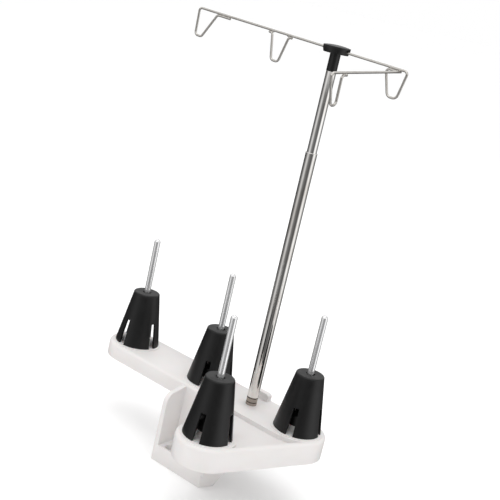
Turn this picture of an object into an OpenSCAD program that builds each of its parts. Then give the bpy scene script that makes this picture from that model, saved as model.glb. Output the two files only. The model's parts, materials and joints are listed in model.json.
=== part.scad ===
// Thread rack: a four-spool stand with a telescopic mast and a wire thread guide.
// The origin is midway between the two bracket screws, on the bracket's underside.
// X runs along the row of three spools, -Y faces the front spool, and +Z goes up the mast.

/* [Deck] */
// Height of the deck's top above the bracket's underside
deck_top = 71.2; // [66:0.2:90]
// Radius of the deck's rounded ends, which is half the plank's width
edge_r = 26; // [25:0.5:32]
// Rounding along the deck's top edge
edge_round = 3; // [1:0.5:4]
// Thickness of the deck plate
plate_t = 3; // [2:0.2:4]
// Thickness of the skirt that runs round under the deck
skirt_t = 2.6; // [2:0.2:4]
// Depth of the skirt under the plain end of the plank
plank_depth = 14.5; // [14:0.5:18]
// Depth of the skirt round the arm and the mast's end of the plank
arm_depth = 20; // [19:0.5:28]
// Depth of the sunk field between the row and the front spool
field_depth = 4; // [2:0.5:6]
// Width of the lip that is left round the sunk field
field_lip = 3.5; // [2.5:0.5:6]
// Thickness of the ribs under the deck
rib_t = 1.8; // [1.2:0.2:3]
// Depth of the ribs below the deck plate
rib_depth = 7; // [4:0.5:9]
// Greatest distance between two cross ribs
rib_pitch = 32; // [24:1:38]

/* [Spool places] */
// Place of the mast along X from the bracket's middle
mast_x = 30.5; // [24:0.5:36]
// Place of the spool row and the mast along Y
row_y = 41; // [38:0.5:48]
// Distance from the mast to the outer left spool
outer_gap = 145.5; // [130:0.5:160]
// Distance from the mast to the inner left spool
inner_gap = 50.5; // [48:0.5:60]
// Distance from the mast to the right spool
right_gap = 51.5; // [48:0.5:60]
// Distance of the front spool from the mast along X
front_dx = 21.5; // [16:0.5:26]
// Distance of the front spool from the row along Y
front_dy = 85; // [78:0.5:95]
// Height of the round seats above the deck
seat_rise = 0.8; // [0.4:0.1:1.5]
// How far a seat reaches past the foot of its cone
seat_margin = 2.2; // [1:0.1:3]

/* [Mounting bracket] */
// Width of the bracket at its front
bracket_w = 58; // [52:0.5:64]
// Distance from the screws to the bracket's front face
bracket_front = 7.5; // [7:0.1:10]
// Distance from the screws to the back edge of the bracket's foot
foot_back = 6.5; // [6:0.1:9]
// Height at which the sloped back of the foot ends
foot_slope_h = 17; // [12:0.5:22]
// Thickness of the bracket's side walls
bracket_wall = 4.5; // [3:0.1:6]
// Thickness of the bracket's back wall
back_wall = 4; // [3:0.1:6]
// Height of the bay's floor above the bracket's underside
bay_floor = 15.5; // [13:0.5:20]
// Thickness of the bay's floor
bay_floor_t = 4; // [3:0.2:6]
// Rounding of the left wall's upper front corner
wall_round = 10; // [6:0.5:14]
// How far the left wall's top falls from the deck to that corner
wall_fall = 3.7; // [2:0.1:6]
// Distance between the two bracket screws
screw_gap = 30; // [26:0.5:34]
// Radius of the bracket's screw holes
bracket_hole_r = 2.6; // [2:0.05:3]
// Radius of the recess round a screw head
bracket_sink_r = 5.5; // [4.5:0.1:6]
// Depth of the recess for a screw head
bracket_sink_depth = 6; // [4:0.5:9]

/* [Spool pins] */
// Radius of a spool pin
pin_r = 2.85; // [2.4:0.05:3.1]
// Height of the pin's tip above the spool seat
pin_rise = 104.6; // [90:0.2:120]
// Radius of the boss that holds a pin
boss_r = 9; // [7:0.1:10]
// Height of that boss above the spool seat
boss_rise = 12; // [9:0.5:14]
// Radius of the boss under the deck
under_boss_r = 6.5; // [5.5:0.1:8]
// Depth of the boss under the deck's top
under_boss_depth = 12; // [10:0.5:13]
// Thickness of the web below the pin's foot
pin_web = 3; // [2:0.2:4]
// Radius of the screw that holds a pin
pin_screw_r = 1.6; // [1.2:0.05:1.9]
// How far that screw goes into the pin
pin_screw_grip = 9; // [6:0.5:14]
// Width of the groove round a pin, just under the cone's top
pin_groove_w = 2; // [1.2:0.1:3]
// Depth of that groove
pin_groove_depth = 0.4; // [0.2:0.05:0.6]

/* [Spool cones] */
// Radius of a cone's foot
cone_foot_r = 21; // [19:0.1:23]
// Radius of a cone's top
cone_top_r = 12.2; // [11:0.1:14]
// Height of a cone
cone_h = 51.2; // [46:0.2:58]
// Thickness of a cone's wall
cone_wall = 1.8; // [1.2:0.1:2.4]
// Rounding at the cone's top edge
cone_round = 1.4; // [0.6:0.1:2]
// Width of a slot in the cone's skirt
slot_w = 5; // [3:0.1:7]
// Height of a slot in the cone's skirt
slot_h = 24; // [16:0.5:30]
// Number of slots and of gripping fingers
slot_count = 4; // [3:1:6]
// Angle of the first slot of cone 1 from +X
slot_turn_1 = 86; // [0:1:90]
// Angle of the first slot of cone 2 from +X
slot_turn_2 = 21; // [0:1:90]
// Angle of the first slot of cone 3 from +X
slot_turn_3 = 13; // [0:1:90]
// Angle of the first slot of cone 4 from +X
slot_turn_4 = 16; // [0:1:90]
// Radius of the opening in the cone's top, inside the sleeve
hub_r = 3.9; // [3.5:0.1:5]
// Wall of the sleeve that hangs inside the cone
hub_wall = 1.5; // [1:0.1:2]
// Length of the gripping fingers
finger_l = 6; // [3:0.5:10]
// Width of the gap between two fingers
finger_gap = 1.8; // [1:0.1:2.4]
// Clearance between the fingers and the pin
pin_clear = 0.08; // [0.02:0.01:0.1]

/* [Mast] */
// Outer radius of the lower tube
tube_r = 5; // [4.6:0.05:5.6]
// Wall of the mast's tubes
tube_wall = 0.5; // [0.4:0.05:0.6]
// Clearance between the two tubes
tube_clear = 0.27; // [0.15:0.01:0.35]
// Height of the lower tube's end above the spool seats
lower_rise = 230.3; // [190:0.5:260]
// Height of the upper tube's end above the spool seats
upper_rise = 298.7; // [262:0.1:340]
// Length of the upper tube that stays inside the lower one
tube_overlap = 40; // [30:1:60]
// Depth of the mast's foot below the deck's top
mast_sink = 12; // [10:0.5:12.5]
// Radius of the boss round the mast's foot
mast_boss_r = 9; // [8:0.1:11]
// Radius of the mast's screw
mast_screw_r = 2.4; // [2:0.05:2.6]
// Height of the upper rolled groove above the deck, and of the plug behind it
groove_top = 7.2; // [5:0.1:10]
// Height of the lower rolled groove above the deck
groove_low = 2.9; // [2:0.1:4]
// Depth of a rolled groove
groove_depth = 0.22; // [0.1:0.01:0.3]
// Width of a rolled groove
groove_w = 1; // [0.6:0.1:1.6]
// Length of the glide under the upper tube
glide_l = 8; // [5:0.5:12]
// Clearance round the glide, and round the upper tube in the lower one's neck
glide_clear = 0.08; // [0.02:0.01:0.1]
// Length of the neck in the lower tube's end
neck_l = 4; // [2:0.5:8]

/* [Guide head] */
// Radius of the head's stem
stem_r = 4.4; // [4.2:0.05:5]
// Length of the head's stem
stem_l = 14.6; // [10:0.1:18]
// Length of the spigot inside the upper tube
spigot_l = 14; // [10:0.5:20]
// Clearance between the spigot and the tube
spigot_clear = 0.08; // [0.02:0.01:0.1]
// Radius of the head's round flange
head_r = 11.3; // [10:0.1:14]
// Height of the flange below the wire
flange_t = 2.9; // [2.4:0.1:4]
// Height of the head's lid above the wire
lid_t = 3.9; // [3:0.1:5]
// How far the lid's middle stands above its edge
lid_crown = 1.1; // [0.4:0.1:1.6]
// Distance from the mast's axis to each peg of the lid
peg_gap = 6.3; // [5:0.1:8]
// Radius of the lid's pegs
peg_r = 1.4; // [1:0.1:1.8]
// Width of the notch where the wire leaves the head
notch_w = 4; // [3:0.1:6]

/* [Wire guide] */
// Radius of the guide wire
wire_r = 1; // [0.8:0.05:1.2]
// Inside bends of the wire are made round this radius, at its middle
bend_r = 2.6; // [2:0.1:3]
// Tilt of the long wire, down towards the right
bar_tilt = 2; // [0:0.1:4]
// Reach of the long wire to the left of the mast
bar_left = 152; // [140:0.5:165]
// Reach of the long wire to the right of the mast
bar_right = 69; // [62:0.5:76]
// Place of the cross wire along the long wire
arm_at = 61.5; // [58:0.5:64]
// Reach of the cross wire to the front
arm_reach = 93.2; // [85:0.1:110]
// Droop of the cross wire towards the front
arm_droop = 4.3; // [0:0.1:8]
// Depth of a thread loop below its wire
loop_depth = 24; // [18:0.5:30]
// Width of the outer left loop at its top
loop_1_w = 22; // [18:0.5:24]
// Width of the inner left loop at its top
loop_2_w = 18; // [15:0.5:22]
// Width of the front loop at its top
loop_3_w = 14.4; // [13:0.2:18]
// Width of the right loop at its top
loop_4_w = 20; // [18:0.5:22]
// Width of a thread loop at its bottom
loop_foot_w = 7.5; // [6.5:0.1:9]
// Radius of the bends at a loop's bottom, at the wire's middle
loop_round = 3.4; // [2.6:0.1:3.6]
// Length of the outer left loop's tail, welded along the long wire
tail_1 = 15; // [6:0.5:18]
// Length of the inner left loop's tails
tail_2 = 3.4; // [3:0.2:8]
// Length of the front loop's tail
tail_3 = 6; // [4:0.5:12]
// How far a welded wire sinks into the one that it lies on
weld_sink = 0.12; // [0.05:0.01:0.2]
// Place of the inner left loop's middle from the mast
loop_2_at = 58; // [50:0.5:66]

/* [Hidden] */
$fn = 48;

// Small overlap that joins shapes inside one solid, or lets a cut pass right through
eps = 0.5;
seat_top = deck_top + seat_rise;
seat_r = cone_foot_r + seat_margin;
mast_at = [mast_x, row_y];
spool_at = [
    [mast_x - outer_gap, row_y],
    [mast_x - inner_gap, row_y],
    [mast_x + front_dx, row_y - front_dy],
    [mast_x + right_gap, row_y]];
front_spool = spool_at[2];
right_spool = spool_at[3];
row_front = row_y - edge_r;
arm_left = front_spool.x - edge_r;

// Direction of the arm's right wall, from the front spool to the right one, and its outward normal
arm_turn = atan2(right_spool.y - front_spool.y, right_spool.x - front_spool.x);
arm_length = norm(right_spool - front_spool);
arm_dir = [cos(arm_turn), sin(arm_turn)];
arm_normal = [arm_dir.y, -arm_dir.x];

bracket_left = -bracket_w / 2;
bracket_right = bracket_w / 2;
bracket_back = row_front + back_wall;
arm_under = deck_top - arm_depth;
field_floor = deck_top - field_depth;
arm_plate_under = field_floor - plate_t;
plate_under = deck_top - plate_t;

pin_foot = deck_top - under_boss_depth + pin_web;
pin_tip = seat_top + pin_rise;
boss_under = deck_top - under_boss_depth;
pin_groove_end = seat_top + cone_h + 0.6;

upper_r = tube_r - tube_wall - tube_clear;
upper_bore_r = upper_r - tube_wall;
lower_bore_r = tube_r - tube_wall;
lower_end = seat_top + lower_rise;
upper_end = seat_top + upper_rise;
mast_foot = deck_top - mast_sink;
mast_web = 2.5;
plug_top = deck_top + groove_top + groove_w;
spigot_r = upper_bore_r - spigot_clear;

wire_z = upper_end + stem_l + flange_t;
bar_origin = [mast_at.x, mast_at.y, wire_z];
tail_drop = 2 * wire_r - weld_sink;
wire_bite = 0.1;

steel = "#b9b6b2";
chrome = "#c9c8c6";
black = "#262627";
white = "#efedeb";

// Unit vector along v
function unit(v) = v / norm(v);

// Signed inset points of the arm's right edge: the point beside centre c, r away from it
function beside(c, r) = c + r * arm_normal;

// Points on an arc round c, from the angle from to the angle to, about every four degrees
function arc_points(c, r, from, to) =
    let (steps = ceil((to - from) / 4))
    [for (i = [0 : steps]) c + r * [cos(from + (to - from) * i / steps), sin(from + (to - from) * i / steps)]];

// The deck's outline seen from above, set in by the distance inset
function deck_outline(inset) =
    let (r = edge_r - inset)
    concat(
        arc_points(spool_at[0], r, 90, 270),
        [[arm_left + inset, row_front + inset]],
        arc_points(front_spool, r, 180, 270 + arm_turn),
        arc_points(right_spool, r, arm_turn - 90, 90));

// One ring of the deck's surface: the outline at a height
function deck_ring(inset, z) = [for (p = deck_outline(inset)) [p.x, p.y, z]];

// The deck's outer form: straight walls, a rounded top edge and two flat faces
module deck_solid() {
    round_steps = 4;
    rings = concat(
        [deck_ring(0, arm_under)],
        [for (i = [0 : round_steps])
            deck_ring(edge_round * (1 - cos(90 * i / round_steps)),
                deck_top - edge_round * (1 - sin(90 * i / round_steps)))]);
    count = len(rings[0]);
    top = len(rings) - 1;
    low_middle = count * len(rings);
    high_middle = low_middle + 1;
    polyhedron(
        points = concat(
            [for (ring = rings) each ring],
            [[mast_at.x, mast_at.y, arm_under], [mast_at.x, mast_at.y, deck_top]]),
        faces = concat(
            [for (i = [0 : count - 1]) [low_middle, i, (i + 1) % count]],
            [for (j = [0 : top - 1], i = [0 : count - 1])
                let (next = (i + 1) % count)
                [j * count + i, (j + 1) * count + i, (j + 1) * count + next, j * count + next]],
            [for (i = [0 : count - 1])
                [high_middle, top * count + (i + 1) % count, top * count + i]]));
}

// The space below the plank's plain end, where the skirt is less deep
module plain_end_relief() {
    translate([spool_at[0].x - edge_r - 1, row_front - 1, arm_under - eps])
        cube([
            bracket_left - spool_at[0].x + edge_r + 1, 2 * edge_r + 2,
            arm_depth - plank_depth + eps]);
}

// The space under the plank, in two parts with a wall between them
module plank_hollow() {
    r = edge_r - skirt_t;
    low = arm_under - eps;
    high = plate_under - low;
    translate([0, 0, low])
        linear_extrude(high)
            union() {
                translate([spool_at[0].x, row_y - r])
                    square([bracket_left - spool_at[0].x, 2 * r]);
                translate(spool_at[0])
                    circle(r);
            }
    translate([0, 0, low])
        linear_extrude(high)
            union() {
                translate([bracket_left + skirt_t, row_y - r])
                    square([right_spool.x - bracket_left - skirt_t, 2 * r]);
                translate(right_spool)
                    circle(r);
            }
}

// The space under the arm, which ends at the plank's front skirt
module arm_hollow() {
    r = edge_r - skirt_t;
    low = arm_under - eps;
    right_foot = beside(front_spool, r);
    right_back = right_foot + (row_front - right_foot.y) / arm_dir.y * arm_dir;
    translate([0, 0, low])
        linear_extrude(arm_plate_under - low)
            polygon(concat(
                arc_points(front_spool, r, 180, 270 + arm_turn),
                [right_back, [front_spool.x - r, row_front]]));
}

// The sunk field between the row, the front seat and the right seat
module sunk_field() {
    inset = edge_r - field_lip;
    clear_r = seat_r + 1.2;
    translate([0, 0, field_floor])
        linear_extrude(field_depth + eps)
            difference() {
                polygon([
                    [arm_left + field_lip, front_spool.y],
                    [arm_left + field_lip, row_front],
                    [right_spool.x, row_front],
                    beside(right_spool, inset),
                    beside(front_spool, inset)]);
                translate(front_spool)
                    circle(clear_r);
                translate(right_spool)
                    circle(clear_r);
            }
}

// Ribs under the plank: one along the row, and cross ribs that share out its length
module plank_ribs() {
    reach = edge_r - skirt_t / 2;
    row_start = spool_at[0].x - reach;
    row_length = right_spool.x + reach - row_start;
    bays = ceil(row_length / rib_pitch);
    step = row_length / bays;
    translate([row_start, row_y - rib_t / 2, plate_under - rib_depth])
        cube([row_length, rib_t, rib_depth + eps]);
    for (i = [1 : bays - 1]) {
        x = row_start + i * step;
        half = x < spool_at[0].x ? reach - 4 : reach;
        translate([x - rib_t / 2, row_y - half, plate_under - rib_depth])
            cube([rib_t, 2 * half, rib_depth + eps]);
    }
}

// Ribs under the arm: one on its middle line and two across it
module arm_ribs() {
    height = rib_depth;
    low = arm_plate_under - height;
    reach = edge_r - skirt_t / 2;
    translate([front_spool.x - rib_t / 2, front_spool.y - reach, low])
        cube([rib_t, row_front - front_spool.y + reach, height + eps]);
    for (y = [front_spool.y, (front_spool.y + row_front) / 2]) {
        right_edge = front_spool.x + (y - front_spool.y) * arm_dir.x / arm_dir.y + reach;
        translate([arm_left + skirt_t / 2, y - rib_t / 2, low])
            cube([right_edge - arm_left - skirt_t / 2, rib_t, height + eps]);
    }
}

// The bracket's outline seen from the side, as [y, z]
module bracket_side() {
    polygon([
        [-bracket_front, 0], [foot_back, 0], [bracket_back, foot_slope_h],
        [bracket_back, arm_under + eps], [-bracket_front, arm_under + eps]]);
}

// The left wall's outline seen from the side, which flows from the deck's edge to the front face
module left_wall_side() {
    corner_top = deck_top - edge_round / 2 - wall_fall;
    corner_y = -bracket_front + wall_round;
    corner_z = corner_top - wall_round;
    polygon([
        [-bracket_front, 0], [foot_back, 0], [bracket_back, foot_slope_h],
        [bracket_back, deck_top - edge_round / 2],
        [row_front + edge_round, deck_top - edge_round / 2],
        [corner_y, corner_top], [corner_y, corner_z], [-bracket_front, corner_z]]);
    translate([corner_y, corner_z])
        circle(wall_round);
}

// Plan of the bracket's right wall, which runs parallel with the arm's right wall
module right_wall_plan(back) {
    lean = arm_dir.x / arm_dir.y;
    thick = bracket_wall / arm_dir.y;
    reach = (back + bracket_front) * lean;
    polygon([
        [bracket_right, -bracket_front], [bracket_right + reach, back],
        [bracket_right + reach - thick, back], [bracket_right - thick, -bracket_front]]);
}

// The bracket: a box of walls whose front opens as a bay, over a hollow foot
module bracket_walls() {
    lean = arm_dir.x / arm_dir.y;
    back_right = bracket_right + (bracket_back + bracket_front) * lean;
    foot_right = bracket_right + (foot_back + bracket_front) * lean;
    translate([bracket_left, 0, 0])
        rotate([90, 0, 90])
            linear_extrude(bracket_wall)
                left_wall_side();
    intersection() {
        translate([bracket_left, 0, 0])
            rotate([90, 0, 90])
                linear_extrude(back_right - bracket_left)
                    bracket_side();
        union() {
            linear_extrude(arm_under + eps)
                right_wall_plan(bracket_back);
            translate([bracket_left, row_front, 0])
                cube([back_right - bracket_left - 1, back_wall, arm_under + eps]);
            translate([bracket_left, -bracket_front, bay_floor - bay_floor_t])
                cube([foot_right - bracket_left - 2, row_front + bracket_front + eps, bay_floor_t]);
            translate([bracket_left, -bracket_front, 0])
                cube([bracket_w - 1, skirt_t, bay_floor]);
            foot_back_wall();
            for (side = [-1, 1])
                translate([side * screw_gap / 2, 0, 0])
                    cylinder(r = bracket_sink_r + 1.4, h = bay_floor);
        }
    }
}

// The sloped back of the bracket's foot
module foot_back_wall() {
    lean = arm_dir.x / arm_dir.y;
    right = bracket_right + (foot_back + bracket_front) * lean - 1;
    translate([bracket_left, 0, 0])
        rotate([90, 0, 90])
            linear_extrude(right - bracket_left)
                polygon([
                    [foot_back - skirt_t, 0], [foot_back, 0], [bracket_back, foot_slope_h],
                    [bracket_back - skirt_t, foot_slope_h], [row_front, bay_floor],
                    [row_front - skirt_t, bay_floor - bay_floor_t]]);
}

// The raised lug at the deck's back edge, behind the mast
module back_lug() {
    lug_w = 20;
    lug_rise = 7;
    lug_t = 6;
    corner = 3;
    translate([mast_x - lug_w / 2 - 5, row_y + edge_r - edge_round, 0])
        rotate([90, 0, 0])
            linear_extrude(lug_t)
                union() {
                    translate([0, plate_under])
                        square([lug_w, plate_t + lug_rise - corner]);
                    translate([corner, plate_under])
                        square([lug_w - 2 * corner, plate_t + lug_rise]);
                    for (x = [corner, lug_w - corner])
                        translate([x, deck_top + lug_rise - corner])
                            circle(corner);
                }
}

// A round seat on the deck with the boss that holds a spool pin
module spool_seat(at) {
    translate([at.x, at.y, deck_top - eps])
        cylinder(r = seat_r, h = seat_rise + eps, $fn = 96);
    translate([at.x, at.y, deck_top - eps])
        cylinder(r = boss_r, h = seat_rise + boss_rise + eps);
    translate([at.x, at.y, boss_under])
        cylinder(r = under_boss_r, h = under_boss_depth - plate_t / 2);
}

// Room for a pin's screw and washer, which the ribs and walls keep clear of
module screw_room(at) {
    translate([at.x, at.y, arm_under - eps])
        cylinder(r = under_boss_r - 0.5, h = boss_under - arm_under + 2 * eps);
}

// The bore for a spool pin and the hole for its screw
module pin_bore(at) {
    translate([at.x, at.y, pin_foot])
        cylinder(r = pin_r, h = seat_top + boss_rise - pin_foot + eps);
    translate([at.x, at.y, boss_under - eps])
        cylinder(r = pin_screw_r, h = pin_web + 2 * eps);
}

module deck_housing() {
    color(white)
        difference() {
            union() {
                difference() {
                    union() {
                        difference() {
                            deck_solid();
                            plain_end_relief();
                            plank_hollow();
                            arm_hollow();
                        }
                        plank_ribs();
                        arm_ribs();
                        bracket_walls();
                    }
                    for (at = spool_at)
                        screw_room(at);
                }
                back_lug();
                for (at = spool_at)
                    spool_seat(at);
                translate([mast_at.x, mast_at.y, mast_foot - mast_web])
                    cylinder(r = mast_boss_r, h = mast_sink + mast_web - plate_t / 2);
            }
            sunk_field();
            for (at = spool_at)
                pin_bore(at);
            translate([mast_at.x, mast_at.y, mast_foot])
                cylinder(r = tube_r, h = mast_sink + eps);
            translate([mast_at.x, mast_at.y, mast_foot - mast_web - eps])
                cylinder(r = mast_screw_r, h = mast_web + 2 * eps);
            for (side = [-1, 1])
                translate([side * screw_gap / 2, 0, 0]) {
                    translate([0, 0, -eps])
                        cylinder(r = bracket_hole_r, h = bay_floor + eps);
                    translate([0, 0, bay_floor - bracket_sink_depth])
                        cylinder(r = bracket_sink_r, h = bracket_sink_depth + eps);
                }
        }
}

// A chrome spool pin with a domed tip and a tapped foot
module spool_pin(at) {
    length = pin_tip - pin_foot;
    color(chrome)
        translate([at.x, at.y, pin_foot])
            difference() {
                rotate_extrude()
                    union() {
                        square([pin_r, length - pin_r]);
                        intersection() {
                            translate([0, length - pin_r])
                                circle(pin_r);
                            translate([0, length - pin_r])
                                square(pin_r);
                        }
                    }
                translate([0, 0, -eps])
                    cylinder(r = pin_screw_r, h = pin_screw_grip + 1 + eps);
                translate([0, 0, pin_groove_end - pin_groove_w - pin_foot])
                    difference() {
                        cylinder(r = pin_r + eps, h = pin_groove_w);
                        translate([0, 0, -eps])
                            cylinder(r = pin_r - pin_groove_depth, h = pin_groove_w + 2 * eps);
                    }
            }
}

// A pan-head screw, its head down, with its seat at the origin
module pan_screw(shank_r, shank_l, head_r, head_h) {
    slot_depth = head_h / 2;
    difference() {
        union() {
            cylinder(r = shank_r, h = shank_l);
            translate([0, 0, -head_h])
                cylinder(r1 = head_r - 0.6, r2 = head_r, h = head_h);
        }
        for (turn = [0, 90])
            rotate([0, 0, turn])
                translate([-head_r * 0.6, -0.4, -head_h - eps])
                    cube([head_r * 1.2, 0.8, slot_depth + eps]);
    }
}

// A flat washer with its upper face at the origin
module washer(inner_r, outer_r, thick) {
    translate([0, 0, -thick])
        difference() {
            cylinder(r = outer_r, h = thick);
            translate([0, 0, -eps])
                cylinder(r = inner_r, h = thick + 2 * eps);
        }
}

pin_washer_t = 0.8;
mast_washer_t = 1;

module pin_screws() {
    color(steel)
        for (at = spool_at)
            translate([at.x, at.y, boss_under - pin_washer_t])
                pan_screw(pin_screw_r, pin_washer_t + pin_web + pin_screw_grip, 3, 2);
}

module pin_washers() {
    color(steel)
        for (at = spool_at)
            translate([at.x, at.y, boss_under])
                washer(pin_screw_r + 0.2, under_boss_r - 1.5, pin_washer_t);
}

// The lower tube, rolled onto its plug by two grooves
module mast_lower_tube() {
    color(chrome)
        translate([mast_at.x, mast_at.y, 0])
            difference() {
                translate([0, 0, mast_foot])
                    cylinder(r = tube_r, h = lower_end - mast_foot);
                translate([0, 0, mast_foot - eps])
                    cylinder(r = lower_bore_r, h = lower_end - neck_l - mast_foot + eps);
                translate([0, 0, lower_end - neck_l - eps])
                    cylinder(r = upper_r + glide_clear, h = neck_l + 2 * eps);
                for (z = [groove_low, groove_top])
                    translate([0, 0, deck_top + z - groove_w / 2])
                        difference() {
                            cylinder(r = tube_r + eps, h = groove_w);
                            translate([0, 0, -eps])
                                cylinder(r = tube_r - groove_depth, h = groove_w + 2 * eps);
                        }
            }
}

module mast_foot_plug() {
    color(steel)
        translate([mast_at.x, mast_at.y, mast_foot])
            difference() {
                cylinder(r = lower_bore_r, h = plug_top - mast_foot);
                translate([0, 0, -eps])
                    cylinder(r = mast_screw_r, h = mast_sink + eps);
            }
}

module mast_screw() {
    color(steel)
        translate([mast_at.x, mast_at.y, mast_foot - mast_web - mast_washer_t])
            pan_screw(mast_screw_r, mast_washer_t + mast_web + mast_sink - 2, 4.2, 3);
}

module mast_washer() {
    color(steel)
        translate([mast_at.x, mast_at.y, mast_foot - mast_web])
            washer(mast_screw_r + 0.2, 5.5, mast_washer_t);
}

module mast_upper_tube() {
    foot = lower_end - tube_overlap;
    color(chrome)
        translate([mast_at.x, mast_at.y, foot])
            difference() {
                cylinder(r = upper_r, h = upper_end - foot);
                translate([0, 0, -eps])
                    cylinder(r = upper_bore_r, h = upper_end - foot + 2 * eps);
            }
}

// The nylon plug under the upper tube, which slides in the lower one
module mast_glide() {
    foot = lower_end - tube_overlap;
    head = glide_l * 0.6;
    color("#dcdad2")
        translate([mast_at.x, mast_at.y, foot - head])
            union() {
                cylinder(r = lower_bore_r - glide_clear, h = head);
                cylinder(r = upper_bore_r, h = head + glide_l);
            }
}

// Cylinder from a to b
module rod(a, b, r) {
    along = unit(b - a);
    side = abs(along.y) > 0.9 ? [1, 0, 0] : [0, 1, 0];
    across = unit(cross(side, along));
    third = cross(along, across);
    multmatrix([
        [across.x, third.x, along.x, a.x],
        [across.y, third.y, along.y, a.y],
        [across.z, third.z, along.z, a.z],
        [0, 0, 0, 1]])
        cylinder(r = r, h = norm(b - a), $fn = 24);
}

// Heading of the wire after point i of a path in a plane
function heading(path, i) = atan2(path[i + 1].y - path[i].y, path[i + 1].x - path[i].x);

// Angle of the bend at point i, which is positive to the left
function bend_at(path, i) =
    let (turn = heading(path, i) - heading(path, i - 1))
    turn > 180 ? turn - 360 : turn < -180 ? turn + 360 : turn;

// Radius of the bend at point i: the point's own third number, or the usual radius
function round_at(path, i) = len(path[i]) > 2 ? path[i].z : bend_r;

// Length that the bend at point i takes from each side, which is nothing at the path's ends
function trim_at(path, i) =
    i == 0 || i == len(path) - 1 ? 0 : round_at(path, i) * tan(abs(bend_at(path, i)) / 2);

// The wire from point i on, drawn along X from the end of that point's bend. Each straight
// piece is a hair thinner than the bends and ends just inside them, so that they join cleanly.
module wire_from(path, i) {
    straight = norm(path[i + 1] - path[i]) - trim_at(path, i) - trim_at(path, i + 1);
    bite_start = i == 0 ? 0 : wire_bite;
    bite_end = i + 2 == len(path) ? 0 : wire_bite;
    translate([-bite_start, 0, 0])
        rotate([0, 90, 0])
            cylinder(r = wire_r - wire_bite / 10, h = straight + bite_start + bite_end, $fn = 24);
    if (i + 2 < len(path)) {
        turn = bend_at(path, i + 1);
        side = sign(turn);
        radius = round_at(path, i + 1);
        translate([straight, side * radius, 0]) {
            rotate([0, 0, side > 0 ? -90 : 90 + turn])
                rotate_extrude(angle = abs(turn))
                    translate([radius, 0])
                        circle(wire_r, $fn = 24);
            rotate([0, 0, turn])
                translate([0, -side * radius, 0])
                    wire_from(path, i + 1);
        }
    }
}

// A wire in the X-Z plane through the points of path, each [x, z] or [x, z, bend radius], with a
// round bend at each
module bent_wire(path) {
    rotate([90, 0, 0])
        translate([path[0].x, path[0].y, 0])
            rotate([0, 0, heading(path, 0)])
                wire_from(path, 0);
}

// Puts its children on the long wire's own line: origin on the mast, X along the wire
module on_bar() {
    translate(bar_origin)
        rotate([0, bar_tilt, 0])
            children();
}

// Puts its children on the cross wire's own line: origin under the long wire, X to the front
module on_cross_wire() {
    on_bar()
        translate([arm_at, 0, -tail_drop])
            rotate([0, arm_droop, -90])
                children();
}

// The wire's passage through the head, which the two halves of the head share
module wire_passage() {
    on_bar()
        rod([-head_r - 2, 0, 0], [head_r + 2, 0, 0], wire_r);
}

module head_stem() {
    color(black)
        difference() {
            translate([mast_at.x, mast_at.y, 0])
                union() {
                    translate([0, 0, upper_end - spigot_l])
                        cylinder(r = spigot_r, h = spigot_l + eps);
                    translate([0, 0, upper_end])
                        cylinder(r = stem_r, h = stem_l + eps);
                    translate([0, 0, upper_end + stem_l])
                        cylinder(r1 = head_r - 1, r2 = head_r, h = flange_t);
                }
            wire_passage();
            for (side = [-1, 1])
                translate([mast_at.x, mast_at.y + side * peg_gap, wire_z - flange_t / 2])
                    cylinder(r = peg_r, h = flange_t);
        }
}

module head_lid() {
    dome_r = (head_r * head_r + lid_crown * lid_crown) / (2 * lid_crown);
    color(black)
        difference() {
            translate([mast_at.x, mast_at.y, wire_z])
                union() {
                    rotate_extrude($fn = 96)
                        intersection() {
                            translate([0, lid_t - dome_r])
                                circle(dome_r, $fn = 180);
                            square([head_r, lid_t]);
                        }
                    for (side = [-1, 1])
                        translate([0, side * peg_gap, -flange_t / 2])
                            cylinder(r = peg_r, h = flange_t);
                }
            wire_passage();
            translate([mast_at.x + head_r / 2, mast_at.y - notch_w / 2, wire_z - eps])
                cube([head_r, notch_w, 1.3 + eps]);
        }
}

module guide_bar() {
    end_left = -bar_left + bend_r + 2;
    end_right = bar_right - bend_r - 2;
    color(steel)
        on_bar()
            rod([end_left, 0, 0], [end_right, 0, 0], wire_r);
}

module guide_cross_wire() {
    color(steel)
        on_cross_wire()
            rod([-2 * wire_r, 0, 0], [arm_reach - bend_r - 2, 0, 0], wire_r);
}

// The outer left loop: the long wire's end, bent down and back, with its tail welded under it
module thread_loop_1() {
    left = -bar_left;
    color(steel)
        on_bar()
            bent_wire([
                [left + bend_r + 2, 0], [left, 0],
                [left + 1.5, -loop_depth, loop_round],
                [left + 1.5 + loop_foot_w, -loop_depth, loop_round],
                [left + loop_1_w, -tail_drop], [left + loop_1_w + tail_1, -tail_drop]]);
}

// The inner left loop: a separate wire, hung by two welded tails
module thread_loop_2() {
    top = loop_2_w / 2;
    foot = loop_foot_w / 2;
    color(steel)
        on_bar()
            translate([-loop_2_at, 0, 0])
                bent_wire([
                    [-top - tail_2, -tail_drop], [-top, -tail_drop],
                    [-foot, -loop_depth, loop_round], [foot, -loop_depth, loop_round],
                    [top, -tail_drop], [top + tail_2, -tail_drop]]);
}

// The front loop: the cross wire's end, bent down and back to a welded tail
module thread_loop_3() {
    far = arm_reach;
    near = far - loop_3_w;
    foot = loop_foot_w * 0.85;
    color(steel)
        on_cross_wire()
            bent_wire([
                [far - bend_r - 2, 0], [far, 0],
                [near + foot, -loop_depth, loop_round], [near, -loop_depth, loop_round],
                [near, -tail_drop], [near - tail_3, -tail_drop]]);
}

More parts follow.
